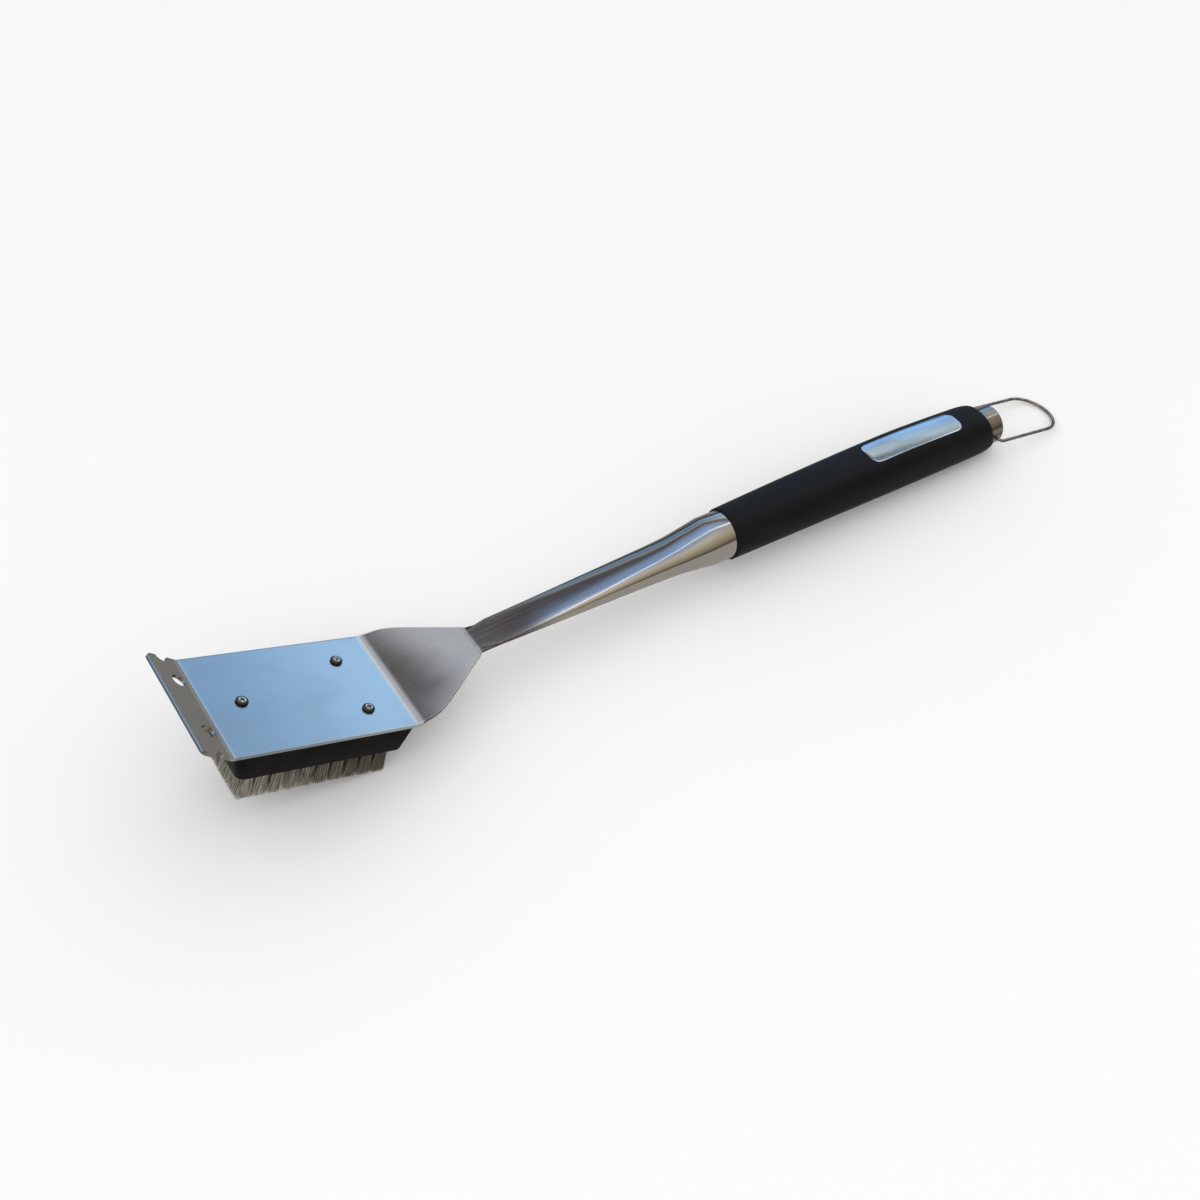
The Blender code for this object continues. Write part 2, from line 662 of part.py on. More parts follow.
def loop_route():
    """Half of the loop's centre line from its tail in the plug to the middle of its round end."""
    points = [Vector((0.0, LOOP_TAIL, 0.0)), Vector((0.0, CAP_RADIUS, 0.0))]
    for i in range(5):
        angle = math.pi / 2 * i / 4
        x, y = LOOP_BEND * (1 - math.cos(angle)), LOOP_HALF_WIDTH - LOOP_BEND * (1 - math.sin(angle))
        points.append(Vector((x, y, 0.0)))
    centre = LOOP_REACH - LOOP_HALF_WIDTH
    for i in range(9):
        angle = math.pi / 2 * (1 - i / 8)
        x, y = centre + LOOP_HALF_WIDTH * math.cos(angle), LOOP_HALF_WIDTH * math.sin(angle)
        points.append(Vector((x, y, 0.0)))
    return points


def build_loop(parent):
    wire = material("loop_wire", (0.35, 0.35, 0.36), 0.25, 1.0)
    half = loop_route()
    route = half + [Vector((p.x, -p.y, 0.0)) for p in reversed(half[:-1])]
    curve = bpy.data.curves.new("hanging_loop", "CURVE")
    curve.dimensions = "3D"
    curve.bevel_depth = WIRE_RADIUS
    curve.bevel_resolution = 2
    curve.use_fill_caps = True
    spline = curve.splines.new("POLY")
    spline.points.add(len(route) - 1)
    for point, at in zip(spline.points, route):
        point.co = (*at, 1.0)
    place("hanging_loop", curve, parent, wire)


# --- Rest pose -------------------------------------------------------------------------------------------


def on_blade(distance, height):
    """A point of the handle's own frame, in the blade frame."""
    along = Vector((math.cos(HANDLE_ANGLE), 0.0, math.sin(HANDLE_ANGLE)))
    over = Vector((-math.sin(HANDLE_ANGLE), 0.0, math.cos(HANDLE_ANGLE)))
    return handle_origin() + distance * along + height * over


def rest_tilt():
    """Nose-up tilt at which the rear edge of the bristles and the underside of the grip touch one table."""
    heel = Vector((TUFT_FIRST_X + (TUFTS_ALONG - 1) * TUFT_PITCH_X + TUFT_TIP_X, 0.0, BRISTLE_TIP_Z))
    angles = []
    for ring in grip_rings():
        for point in ring:
            reach = on_blade(point.x, point.z) - heel
            angles.append(math.atan2(reach.z, reach.x))
    return heel, min(angles)


def loop_drop(heel, tilt):
    """How far the loop hangs below the handle's line when its round end lies on the table."""
    pivot = on_blade(LOOP_PIVOT, 0.0) - heel
    height = pivot.z * math.cos(tilt) - pivot.x * math.sin(tilt)
    below_level = math.asin((height - WIRE_RADIUS - LOOP_FLOOR_GAP) / LOOP_REACH)
    return below_level - (tilt - HANDLE_ANGLE)


def world_bounds():
    graph = bpy.context.evaluated_depsgraph_get()
    corners = []
    for obj in bpy.context.scene.objects:
        if obj.type in {"MESH", "CURVE"} and not obj.hide_render:
            made = obj.evaluated_get(graph)
            mesh = made.to_mesh()
            corners += [made.matrix_world @ vertex.co for vertex in mesh.vertices]
            made.to_mesh_clear()
    low = Vector([min(c[i] for c in corners) for i in range(3)])
    high = Vector([max(c[i] for c in corners) for i in range(3)])
    return low, high


def main():
    clear_scene()
    heel, tilt = rest_tilt()
    stand = frame("brush", turn_y=tilt)
    handle = frame("handle", stand, handle_origin(), -HANDLE_ANGLE)
    pivot = frame("loop_pivot", handle, (LOOP_PIVOT, 0.0, 0.0), loop_drop(heel, tilt))
    build_blade(stand)
    build_block(stand)
    build_bristles(stand)
    build_screws(stand)
    build_grip(handle)
    build_cap(handle)
    build_loop(pivot)
    bpy.context.view_layer.update()
    low, high = world_bounds()
    stand.location = (-(low.x + high.x) / 2, -(low.y + high.y) / 2, -low.z)
    bpy.context.view_layer.update()


main()
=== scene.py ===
"""Looks of a long-handled grill brush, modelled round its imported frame.

The blade, brush block, bristles, screws, grip, inlay, cap and hanging loop are each built by a class of their
own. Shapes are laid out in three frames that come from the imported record: the blade's (its bend line at the
origin, +X towards the handle, +Z up from the plate), the handle's (+X along the tube) and the loop's (+X from
its pivot to its round end). Metres throughout.
"""

import json
import logging
import math
import random
from collections.abc import Callable, Sequence
from dataclasses import dataclass, field
from enum import Enum
from typing import ClassVar

import bmesh
import bpy
from mathutils import Matrix, Vector

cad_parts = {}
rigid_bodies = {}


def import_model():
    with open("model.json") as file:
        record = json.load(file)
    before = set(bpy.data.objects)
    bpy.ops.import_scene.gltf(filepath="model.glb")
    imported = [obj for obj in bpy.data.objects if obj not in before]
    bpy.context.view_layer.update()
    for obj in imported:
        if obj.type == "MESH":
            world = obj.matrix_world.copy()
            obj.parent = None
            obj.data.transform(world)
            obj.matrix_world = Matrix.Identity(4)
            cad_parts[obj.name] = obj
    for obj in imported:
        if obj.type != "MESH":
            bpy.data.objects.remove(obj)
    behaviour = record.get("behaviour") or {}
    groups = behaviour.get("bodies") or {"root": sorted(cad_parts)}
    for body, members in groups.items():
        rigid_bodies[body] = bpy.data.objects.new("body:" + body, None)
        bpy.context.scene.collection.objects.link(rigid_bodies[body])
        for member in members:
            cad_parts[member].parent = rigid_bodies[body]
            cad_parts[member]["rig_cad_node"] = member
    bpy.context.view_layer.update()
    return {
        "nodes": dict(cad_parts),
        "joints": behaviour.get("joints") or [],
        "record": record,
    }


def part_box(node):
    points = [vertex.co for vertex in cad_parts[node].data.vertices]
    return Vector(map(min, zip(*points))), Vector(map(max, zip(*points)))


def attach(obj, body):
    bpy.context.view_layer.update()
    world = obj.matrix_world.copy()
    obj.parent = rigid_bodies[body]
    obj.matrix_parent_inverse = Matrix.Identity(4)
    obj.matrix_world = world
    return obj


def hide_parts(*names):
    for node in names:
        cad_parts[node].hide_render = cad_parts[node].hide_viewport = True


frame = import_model()

log = logging.getLogger("grill_brush")

Colour = tuple[float, float, float]
Point = tuple[float, float, float]
Ring = list[Vector]
Station = tuple[Vector, float]

GAP = 0.0003
MAIN_BODY = "brush"
LOOP_BODY = "loop"
# how far behind the scraper's bend the mount lies, under the fifth row's middle tuft
TIPS_ALONG = 0.0484
# finished materials by name, so that pieces of one finish share it
MADE: dict[str, bpy.types.Material] = {}


# --- Frames ----------------------------------------------------------------------------------------------


@dataclass(frozen=True)
class Place:
    """A right-handed frame in the row's space that a piece is laid out in."""

    origin: Vector
    along: Vector
    over: Vector

    @property
    def matrix(self) -> Matrix:
        """The frame as a 4x4 matrix.

        Returns:
            The matrix from this frame to the row's.
        """
        across = self.over.cross(self.along)
        turn = Matrix((self.along, across, self.over)).transposed()
        return Matrix.Translation(self.origin) @ turn.to_4x4()

    @property
    def pitch(self) -> float:
        """The turn about +Y, in radians, that takes the row's +X to this frame's +X."""
        return math.atan2(-self.along.z, self.along.x)

    def shifted(self, x: float, y: float, z: float) -> "Place":
        """Returns the same frame with its origin moved by x, y and z along its own axes."""
        return Place(self.matrix @ Vector((x, y, z)), self.along, self.over)

    def turned(self, angle: float) -> "Place":
        """Returns the frame pitched up by an angle in radians about its own cross axis.

        Args:
            angle: The turn, upwards.

        Returns:
            The turned frame.
        """
        along = math.cos(angle) * self.along + math.sin(angle) * self.over
        over = -math.sin(angle) * self.along + math.cos(angle) * self.over
        return Place(self.origin, along, over)


def blade_place() -> Place:
    """Returns the blade's frame, found from the mount on the bristle tips.

    Returns:
        The frame whose origin is on the scraper's bend line, in the plate's top face.
    """
    mount = frame["record"]["mounts"][0]
    over = -Vector(mount["axis"])
    along = Vector((over.z, 0.0, -over.x))
    return Place(Vector(mount["pos_m"]) - TIPS_ALONG * along - Tufts.tip_z * over, along, over)


def handle_place(blade: Place) -> Place:
    """Returns the handle's frame, with its origin where the neck ends and +X along the tube."""
    neck_end = blade.shifted(Neck.start + Neck.run, 0.0, Neck.rise).turned(Shaft.angle)
    return neck_end.shifted(0.0, 0.0, Shaft.axis_over_strip)


def loop_place(blade: Place) -> Place:
    """Returns the loop's frame, with its origin on the hinge and +X to the middle of its round end.

    Args:
        blade: Not used.

    Returns:
        The frame in the loop's own plane, as it lies at rest.
    """
    pivot = Vector(frame["joints"][0]["pos_m"])
    low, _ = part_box("hanging_loop")
    drop = math.asin((pivot.z - HangingLoop.wire - low.z) / HangingLoop.reach)
    level = Place(pivot, Vector((1.0, 0.0, 0.0)), Vector((0.0, 0.0, 1.0)))
    return level.turned(-drop)


# --- Workbench -------------------------------------------------------------------------------------------


class Ends(Enum):
    """How the two ends of a lofted shape are left. An end whose ring is folded flat closes itself."""

    OPEN = "open"
    JOINED = "joined"


class Bench:
    """The hand tools: each method is a modelling step on one object."""

    @staticmethod
    def clear() -> None:
        """Leaves object mode with nothing selected."""
        if bpy.context.object is not None and bpy.context.object.mode != "OBJECT":
            bpy.ops.object.mode_set(mode="OBJECT")
        bpy.ops.object.select_all(action="DESELECT")

    @staticmethod
    def hold(obj: bpy.types.Object) -> bpy.types.Object:
        """Selects one object alone and makes it active.

        Args:
            obj: The object.

        Returns:
            The same object.
        """
        Bench.clear()
        bpy.context.view_layer.objects.active = obj
        obj.select_set(True)
        return obj

    @staticmethod
    def named(name: str) -> bpy.types.Object:
        """Names the primitive that was just added, and its mesh.

        Args:
            name: The new name.

        Returns:
            The active object.
        """
        obj = bpy.context.object
        obj.name = obj.data.name = name
        return obj

    @staticmethod
    def edit(obj: bpy.types.Object, step: Callable[[], object]) -> None:
        """Runs one step in edit mode with everything in the mesh selected.

        Args:
            obj: The object.
            step: What is done in edit mode.
        """
        Bench.hold(obj)
        bpy.ops.object.mode_set(mode="EDIT")
        bpy.ops.mesh.select_all(action="SELECT")
        step()
        bpy.ops.object.mode_set(mode="OBJECT")

    @staticmethod
    def weld(obj: bpy.types.Object, within: float = 0.000002) -> None:
        """Merges doubled points, then turns all faces outwards.

        Args:
            obj: The object.
            within: How close points have to be.
        """

        def step() -> None:
            """Merges and turns the selected mesh."""
            bpy.ops.mesh.remove_doubles(threshold=within)
            bpy.ops.mesh.normals_make_consistent(inside=False)

        Bench.edit(obj, step)
        shape = bmesh.new()
        shape.from_mesh(obj.data)
        if shape.calc_volume(signed=True) < 0:
            Bench.edit(obj, bpy.ops.mesh.flip_normals)
        shape.free()

    @staticmethod
    def smooth(obj: bpy.types.Object, degrees: float = 32.0) -> None:
        """Shades an object smooth, with creases kept above an angle."""
        Bench.hold(obj)
        bpy.ops.object.shade_smooth_by_angle(angle=math.radians(degrees))

    @staticmethod
    def apply(obj: bpy.types.Object, kind: str, **settings: object) -> None:
        """Adds one modifier with its settings and applies it.

        Args:
            obj: The object it works on.
            kind: The modifier's type.
            settings: The modifier's own settings.
        """
        Bench.hold(obj)
        modifier = obj.modifiers.new(kind.lower(), kind)
        for key, value in settings.items():
            setattr(modifier, key, value)
        bpy.ops.object.modifier_apply(modifier=modifier.name)

    @staticmethod
    def cut(obj: bpy.types.Object, cutter: bpy.types.Object) -> None:
        """Takes a cutter's volume out of an object and removes the cutter."""
        Bench.apply(obj, "BOOLEAN", operation="DIFFERENCE", object=cutter, solver="MANIFOLD")
        bpy.data.objects.remove(cutter, do_unlink=True)

    @staticmethod
    def put(obj: bpy.types.Object, place: Place) -> bpy.types.Object:
        """Takes a finished mesh from its own frame to the row's, and leaves the object at the origin.

        Args:
            obj: The object.
            place: The frame that its mesh was laid out in.

        Returns:
            The same object.
        """
        obj.data.transform(place.matrix @ obj.matrix_world)
        obj.matrix_world = Matrix.Identity(4)
        return obj

    @staticmethod
    def join(name: str, parts: Sequence[bpy.types.Object]) -> bpy.types.Object:
        """Joins objects into one.

        Args:
            name: Name of the joined object.
            parts: What is joined.

        Returns:
            The joined object.
        """
        Bench.hold(parts[0])
        for part in parts:
            part.select_set(True)
        bpy.ops.object.join()
        return Bench.named(name)

    @staticmethod
    def loft(name: str, rings: Sequence[Ring], ends: Ends, closed: bool = True) -> bpy.types.Object:
        """Lays the rows of a new grid on a line of rings.

        Args:
            name: Name of the new object.
            rings: Rings of equally many points.
            ends: Whether the last ring is joined to the first.
            closed: True if each ring comes back to its first point.

        Returns:
            The object, welded and facing out.
        """
        Bench.clear()
        count = len(rings[0])
        columns = count if closed else count - 1
        rows = len(rings) if ends is Ends.JOINED else len(rings) - 1
        bpy.ops.mesh.primitive_grid_add(x_subdivisions=columns, y_subdivisions=rows, size=1.0)
        obj = Bench.named(name)
        for vertex in obj.data.vertices:
            column = round((vertex.co.x + 0.5) * columns) % count
            row = round((vertex.co.y + 0.5) * rows) % len(rings)
            vertex.co = rings[row][column]
        Bench.weld(obj)
        return obj

    @staticmethod
    def spin(name: str, profile: Sequence[tuple[float, float]], steps: int) -> bpy.types.Object:
        """Turns a profile of (distance, radius) once round +X.

        Args:
            name: Name of the new object.
            profile: Points from one end on the axis to the other.
            steps: Number of sides.

        Returns:
            The closed turned object.
        """
        Bench.clear()
        mesh = bpy.data.meshes.new(name)
        edges = [(i, i + 1) for i in range(len(profile) - 1)]
        mesh.from_pydata([(at, 0.0, radius) for at, radius in profile], edges, [])
        obj = bpy.data.objects.new(name, mesh)
        bpy.context.scene.collection.objects.link(obj)
        Bench.edit(
            obj,
            lambda: bpy.ops.mesh.spin(
                steps=steps, angle=math.tau, center=(0.0, 0.0, 0.0), axis=(1.0, 0.0, 0.0)
            ),
        )
        Bench.weld(obj)
        return obj

    @staticmethod
    def rod(
        name: str, radius: float, depth: float, sides: int, at: Point = (0.0, 0.0, 0.0)
    ) -> bpy.types.Object:
        """Adds a round rod along Z as a cutter.

        Args:
            name: Name of the new object.
            radius: Its radius.
            depth: Its length.
            sides: Number of sides.
            at: Its middle.

        Returns:
            The rod.
        """
        Bench.clear()
        bpy.ops.mesh.primitive_cylinder_add(vertices=sides, radius=radius, depth=depth, location=at)
        obj = Bench.named(name)
        bpy.ops.object.transform_apply(location=True, rotation=True, scale=True)
        return obj


def read_table(table: Sequence[Sequence[float]], at: float) -> list[float]:
    """Reads every column of a table of sections at one distance, with smooth slopes through its rows.

    Args:
        table: Rows that start with their distance.
        at: The distance to read at.

    Returns:
        The other columns' values there.
    """
    if at <= table[0][0]:
        return list(table[0][1:])
    if at >= table[-1][0]:
        return list(table[-1][1:])
    k = max(i for i in range(len(table) - 1) if table[i][0] <= at)
    before, low, high, after = table[max(k - 1, 0)], table[k], table[k + 1], table[min(k + 2, len(table) - 1)]
    span = high[0] - low[0]
    t = (at - low[0]) / span
    values = []
    for a, b, c, d in zip(before[1:], low[1:], high[1:], after[1:]):
        slope_low = (c - a) / (high[0] - before[0]) * span
        slope_high = (d - b) / (after[0] - low[0]) * span
        values.append(
            b * (2 * t**3 - 3 * t**2 + 1)
            + slope_low * (t**3 - 2 * t**2 + t)
            + c * (3 * t**2 - 2 * t**3)
            + slope_high * (t**3 - t**2)
        )
    return values


def spread(low: float, high: float, count: int) -> list[float]:
    """Returns evenly spaced values from low to high, both included."""
    return [low + (high - low) * i / (count - 1) for i in range(count)]


# --- Shader maths ----------------------------------------------------------------------------------------


class Value:
    """One output socket of a shader, with Python's operators adding Math nodes."""

    def __init__(self, graph: "Graph", socket: bpy.types.NodeSocket) -> None:
        """Keeps the graph that the socket belongs to."""
        self.graph = graph
        self.socket = socket

    def _math(self, operation: str, *terms: "Value | float") -> "Value":
        """Adds one Math node and returns its result."""
        return self.graph.node("ShaderNodeMath", {"operation": operation}, dict(enumerate(terms)))

    def __add__(self, other: "Value | float") -> "Value":
        """Sum of two values."""
        return self._math("ADD", self, other)

    __radd__ = __add__

    def __sub__(self, other: "Value | float") -> "Value":
        """Difference of two values."""
        return self._math("SUBTRACT", self, other)

    def __rsub__(self, other: "Value | float") -> "Value":
        """Difference with this value taken away."""
        return self._math("SUBTRACT", other, self)

    def __mul__(self, other: "Value | float") -> "Value":
        """Product of two values."""
        return self._math("MULTIPLY", self, other)

    __rmul__ = __mul__

    def __pow__(self, other: "Value | float") -> "Value":
        """This value raised to a power."""
        return self._math("POWER", self, other)

    def most(self, floor: float) -> "Value":
        """The value, or the floor where that is higher."""
        return self._math("MAXIMUM", self, floor)

    def least(self, roof: float) -> "Value":
        """The value, or the roof where that is lower."""
        return self._math("MINIMUM", self, roof)

    def rise(self, low: float, high: float) -> "Value":
        """A soft step from 0 at low to 1 at high, or the other way round where low is above high.

        Args:
            low: Where the step starts.
            high: Where it ends.

        Returns:
            The step.
        """
        settings = {"interpolation_type": "SMOOTHSTEP"}
        if low < high:
            inputs = {"Value": self, "From Min": low, "From Max": high}
            return self.graph.node("ShaderNodeMapRange", settings, inputs)
        return 1.0 - self.rise(high, low)

    def band(self, low: float, high: float, soft: float) -> "Value":
        """A soft-edged band that is 1 between low and high."""
        return self.rise(low - soft, low + soft) * self.rise(high + soft, high - soft)


class Graph:
    """A node tree under construction."""

    def __init__(self, tree: bpy.types.NodeTree) -> None:
        """Starts on a tree that is already there."""
        self.tree = tree

    def node(
        self,
        kind: str,
        settings: dict[str, object] | None = None,
        inputs: dict[str | int, object] | None = None,
        output: str | int = 0,
    ) -> Value:
        """Adds one node.

        Args:
            kind: The node's type.
            settings: What is set on the node first; "stops" holds a ramp's (place, colour) pairs.
            inputs: Values or links of its sockets, by name or number.
            output: The output to return.

        Returns:
            The chosen output.
        """
        node = self.tree.nodes.new(kind)
        for key, value in (settings or {}).items():
            if key == "stops":
                self._stops(node.color_ramp, value)
            else:
                setattr(node, key, value)
        for key, value in (inputs or {}).items():
            self.feed(node.inputs[key], value)
        return Value(self, node.outputs[output])

    @staticmethod
    def _stops(ramp: bpy.types.ColorRamp, stops: Sequence[tuple[float, Colour]]) -> None:
        """Sets a ramp's stops.

        Args:
            ramp: The ramp.
            stops: Pairs of place and colour.
        """
        while len(ramp.elements) < len(stops):
            ramp.elements.new(1.0)
        for element, (at, colour) in zip(ramp.elements, stops):
            element.position = at
            element.color = (*colour, 1.0)

    def feed(self, socket: bpy.types.NodeSocket, value: object) -> None:
        """Links a value to a socket, or sets the socket's own value.

        Args:
            socket: The socket.
            value: A link, number, colour or vector.
        """
        if isinstance(value, Value):
            self.tree.links.new(value.socket, socket)
        elif socket.type == "RGBA":
            socket.default_value = (*value, 1.0)
        else:
            socket.default_value = value

    def mix(self, factor: Value | float, first: object, second: object) -> Value:
        """Mixes two colours."""
        settings = {"data_type": "RGBA", "clamp_factor": True}
        return self.node("ShaderNodeMix", settings, {0: factor, 6: first, 7: second}, output=2)

    def ramp(self, value: Value, stops: Sequence[tuple[float, Colour]]) -> Value:
        """Reads a colour off a ramp."""
        return self.node("ShaderNodeValToRGB", {"stops": stops}, {"Fac": value})

    def parts(self, vector: Value) -> tuple[Value, Value, Value]:
        """Splits a vector into its three numbers."""
        first = self.node("ShaderNodeSeparateXYZ", None, {0: vector})
        return first, *(Value(self, first.socket.node.outputs[i]) for i in (1, 2))

    def noise(self, vector: Value, scale: float, detail: float = 3.0, roughness: float = 0.55) -> Value:
        """Plain noise between 0 and 1."""
        inputs = {"Vector": vector, "Scale": scale, "Detail": detail, "Roughness": roughness}
        return self.node("ShaderNodeTexNoise", None, inputs)

    def stretched(self, vector: Value, scale: Point) -> Value:
        """Scales coordinates differently along each axis."""
        return self.node("ShaderNodeMapping", None, {"Vector": vector, "Scale": scale})

    def bump(self, height: Value, distance: float, strength: float = 1.0) -> Value:
        """Turns a height into a normal."""
        inputs = {"Height": height, "Distance": distance, "Strength": strength}
        return self.node("ShaderNodeBump", None, inputs)


class Finish:
    """Base of every finish: makes the material and its Principled shader."""

    name: str
    slot: str

    def make(self, place: Place) -> bpy.types.Material:
        """Builds the material.

        Args:
            place: The frame that its pattern follows.

        Returns:
            The finished material.
        """
        material = bpy.data.materials.new(self.name)
        material.use_nodes = True
        graph = Graph(material.node_tree)
        shader = material.node_tree.nodes["Principled BSDF"]
        coordinates = graph.node("ShaderNodeTexCoord", None, None, "Object")
        inputs = {"Vector": coordinates, "Location": place.origin, "Rotation": (0.0, place.pitch, 0.0)}
        local = graph.node("ShaderNodeMapping", {"vector_type": "TEXTURE"}, inputs)
        for key, value in self.paint(graph, local).items():
            graph.feed(shader.inputs[key], value)
        return material

    def paint(self, graph: Graph, local: Value) -> dict[str, object]:
        """Returns what goes on the shader's sockets.

        Args:
            graph: The material's nodes.
            local: Coordinates in the piece's own frame, in metres.
        """
        raise NotImplementedError


@dataclass(frozen=True)
class BladeSteel(Finish):
    """Brushed stainless sheet: fine streaks along the blade, satin towards the tube, with painted reflections,
    highlights and shade; darker on the lip.
    """

    name: str = "blade_steel"
    slot: str = "brushed_steel"
    plate_front_painted_reflection: Colour = (0.42, 0.50, 0.57)
    plate_rear_painted_reflection: Colour = (0.72, 0.80, 0.84)
    plain_tone: Colour = (0.70, 0.68, 0.645)
    bend_painted_highlight: Colour = (0.90, 0.88, 0.85)
    lip_painted_shade: Colour = (0.43, 0.42, 0.405)
    neck_painted_shade: Colour = (0.20, 0.175, 0.155)
    neck_painted_highlight: Colour = (0.98, 0.95, 0.90)
    strip_dark_painted_reflection: Colour = (0.155, 0.135, 0.12)
    top_far_painted_reflection: Colour = (0.19, 0.20, 0.21)
    top_near_painted_reflection: Colour = (0.26, 0.345, 0.47)
    streak_tone: Colour = (0.84, 0.86, 0.88)
    cloud_tone: Colour = (0.34, 0.34, 0.35)
    streak_scale: Point = (9.0, 1500.0, 700.0)
    cloud_scale: Point = (26.0, 40.0, 40.0)
    lip_slope: float = 0.481

    def paint(self, graph: Graph, local: Value) -> dict[str, object]:
        """Streaks and wear of the steel, and zones of painted reflection, highlight and shade.

        Args:
            graph: The material's nodes.
            local: Coordinates in the piece's own frame, in metres.

        Returns:
            Values and links by socket name.
        """
        x, y, z = graph.parts(local)
        neck_end = Neck.start + Neck.run
        up_lip = (0.0 - x).most(0.0) * self.lip_slope
        up_neck = (x - Neck.start).most(0.0).least(Neck.run) * (Neck.rise / Neck.run)
        climb = up_lip + up_neck
        climb = climb + (x - neck_end).most(0.0) * math.tan(Shaft.angle)
        sheet = graph.node("ShaderNodeCombineXYZ", None, {0: x, 1: y, 2: z - climb})
        streaks = graph.noise(graph.stretched(sheet, self.streak_scale), 1.0, 3.0, 0.6)
        clouds = graph.noise(graph.stretched(sheet, self.cloud_scale), 1.0, 2.0)
        on_plate = x.band(0.0010, Neck.start - 0.0020, 0.0010)
        on_neck = x.band(Neck.start + 0.0026, neck_end - 0.0010, 0.0014)
        strip_reflection_mask = x.rise(neck_end - 0.0002, neck_end + 0.0012) * x.rise(neck_end + 0.048, neck_end + 0.020)
        # painted reflection: the plate's sky blue, darker at the front and paler at the rear
        plate = graph.mix(x.rise(0.0, Neck.start), self.plate_front_painted_reflection, self.plate_rear_painted_reflection)
        # painted reflection on the neck: lighter towards the tube and on the near side, darker at its start
        lit = (x + 0.35 * y + 0.012 * (clouds - 0.5)).rise(Neck.start + 0.006, neck_end - 0.008)
        near_side_highlight = (0.0 - y).rise(0.012, 0.030) * x.rise(Neck.start, Neck.start + 0.020)
        neck = graph.mix((lit * 0.9 + near_side_highlight * 0.5).least(1.0), self.neck_painted_shade, self.neck_painted_highlight)
        tone = graph.mix(on_plate, self.plain_tone, plate)
        # painted highlight along the rear bend
        tone = graph.mix(x.band(Neck.start - 0.0020, Neck.start + 0.0024, 0.0008), tone, self.bend_painted_highlight)
        tone = graph.mix(on_neck, tone, neck)
        # painted reflection on the tube's top: darker on the far side, blue on the near side
        over = z - climb + 0.006
        top_reflection_mask = x.rise(neck_end + 0.010, neck_end + 0.030) * x.rise(neck_end + 0.165, neck_end + 0.125)
        top_reflection_mask = top_reflection_mask * (y + 0.0020).rise(-0.0065, -0.0035) * over.rise(-0.004, 0.004)
        top = graph.mix((0.0 - y).rise(-0.001, 0.003), self.top_far_painted_reflection, self.top_near_painted_reflection)
        tone = graph.mix(top_reflection_mask * 0.9, tone, top)
        # painted reflection: a dark band on the strip where the shaft starts
        tone = graph.mix(strip_reflection_mask * 0.95, tone, self.strip_dark_painted_reflection)
        # painted shade over the lip
        tone = graph.mix(x.rise(-0.0006, -0.0026), tone, self.lip_painted_shade)
        tone = graph.mix(streaks.rise(0.30, 0.75) * 0.10, tone, self.streak_tone)
        tone = graph.mix(clouds.rise(0.45, 0.75) * 0.14, tone, self.cloud_tone)
        flat = x.rise(neck_end + 0.05, neck_end)
        rough = 0.13 + 0.12 * flat + 0.10 * (streaks - 0.5) * flat + 0.04 * clouds
        return {
            "Base Color": tone,
            "Metallic": 1.0,
            "Roughness": rough,
            "Normal": graph.bump(streaks * flat, 0.00001, 0.07),
        }


@dataclass(frozen=True)
class BlackNylon(Finish):
    """Black moulded plastic with a faint grain."""

    name: str = "block_plastic"
    slot: str = "black_nylon"
    tone: Colour = (0.0045, 0.0045, 0.0040)
    worn: Colour = (0.0090, 0.0088, 0.0078)
    roughness: float = 0.42
    grain_scale: float = 2600.0
    patch_scale: float = 70.0

    def paint(self, graph: Graph, local: Value) -> dict[str, object]:
        """Moulding grain and slightly greyer patches.

        Args:
            graph: The material's nodes.
            local: Coordinates in the piece's own frame, in metres.

        Returns:
            Values and links by socket name.
        """
        grain = graph.noise(local, self.grain_scale, 2.0)
        patches = graph.noise(local, self.patch_scale, 4.0)
        return {
            "Base Color": graph.mix(patches.rise(0.4, 0.75), self.tone, self.worn),
            "Roughness": self.roughness + 0.12 * (patches - 0.5),
            "Specular IOR Level": 0.06,
            "Normal": graph.bump(grain, 0.00003, 0.25),
        }


@dataclass(frozen=True)
class BristleWire(Finish):
    """Drawn steel wire, brighter at the trimmed tips and the front rows as painted light, darker towards the
    roots and the rear rows as painted shade.
    """

    name: str = "drawn_bristle_wire"
    slot: str = "bristle_wire"
    bright: Colour = (0.88, 0.85, 0.79)
    dull_and_shaded_wire: Colour = (0.17, 0.155, 0.125)
    wire_scale: Point = (1500.0, 1500.0, 60.0)

    def paint(self, graph: Graph, local: Value) -> dict[str, object]:
        """Differences from wire to wire, along the block and down to the tips.

        Args:
            graph: The material's nodes.
            local: Coordinates in the piece's own frame, in metres.

        Returns:
            Values and links by socket name.
        """
        x, _, z = graph.parts(local)
        wires = graph.noise(graph.stretched(local, self.wire_scale), 1.0, 2.0, 0.6)
        # painted light and shade: wires brighter towards the front rows and the tips, darker towards the rear
        # rows and the roots
        front = x.rise(0.085, 0.010)
        low = z.rise(-0.020, -0.034)
        share = wires.rise(0.25, 0.60) * (0.16 + 0.72 * front + 0.12 * low)
        return {
            "Base Color": graph.mix(share, self.dull_and_shaded_wire, self.bright),
            "Metallic": 1.0,
            "Roughness": 0.34 + 0.16 * wires,
            "Normal": graph.bump(wires, 0.00002, 0.3),
        }


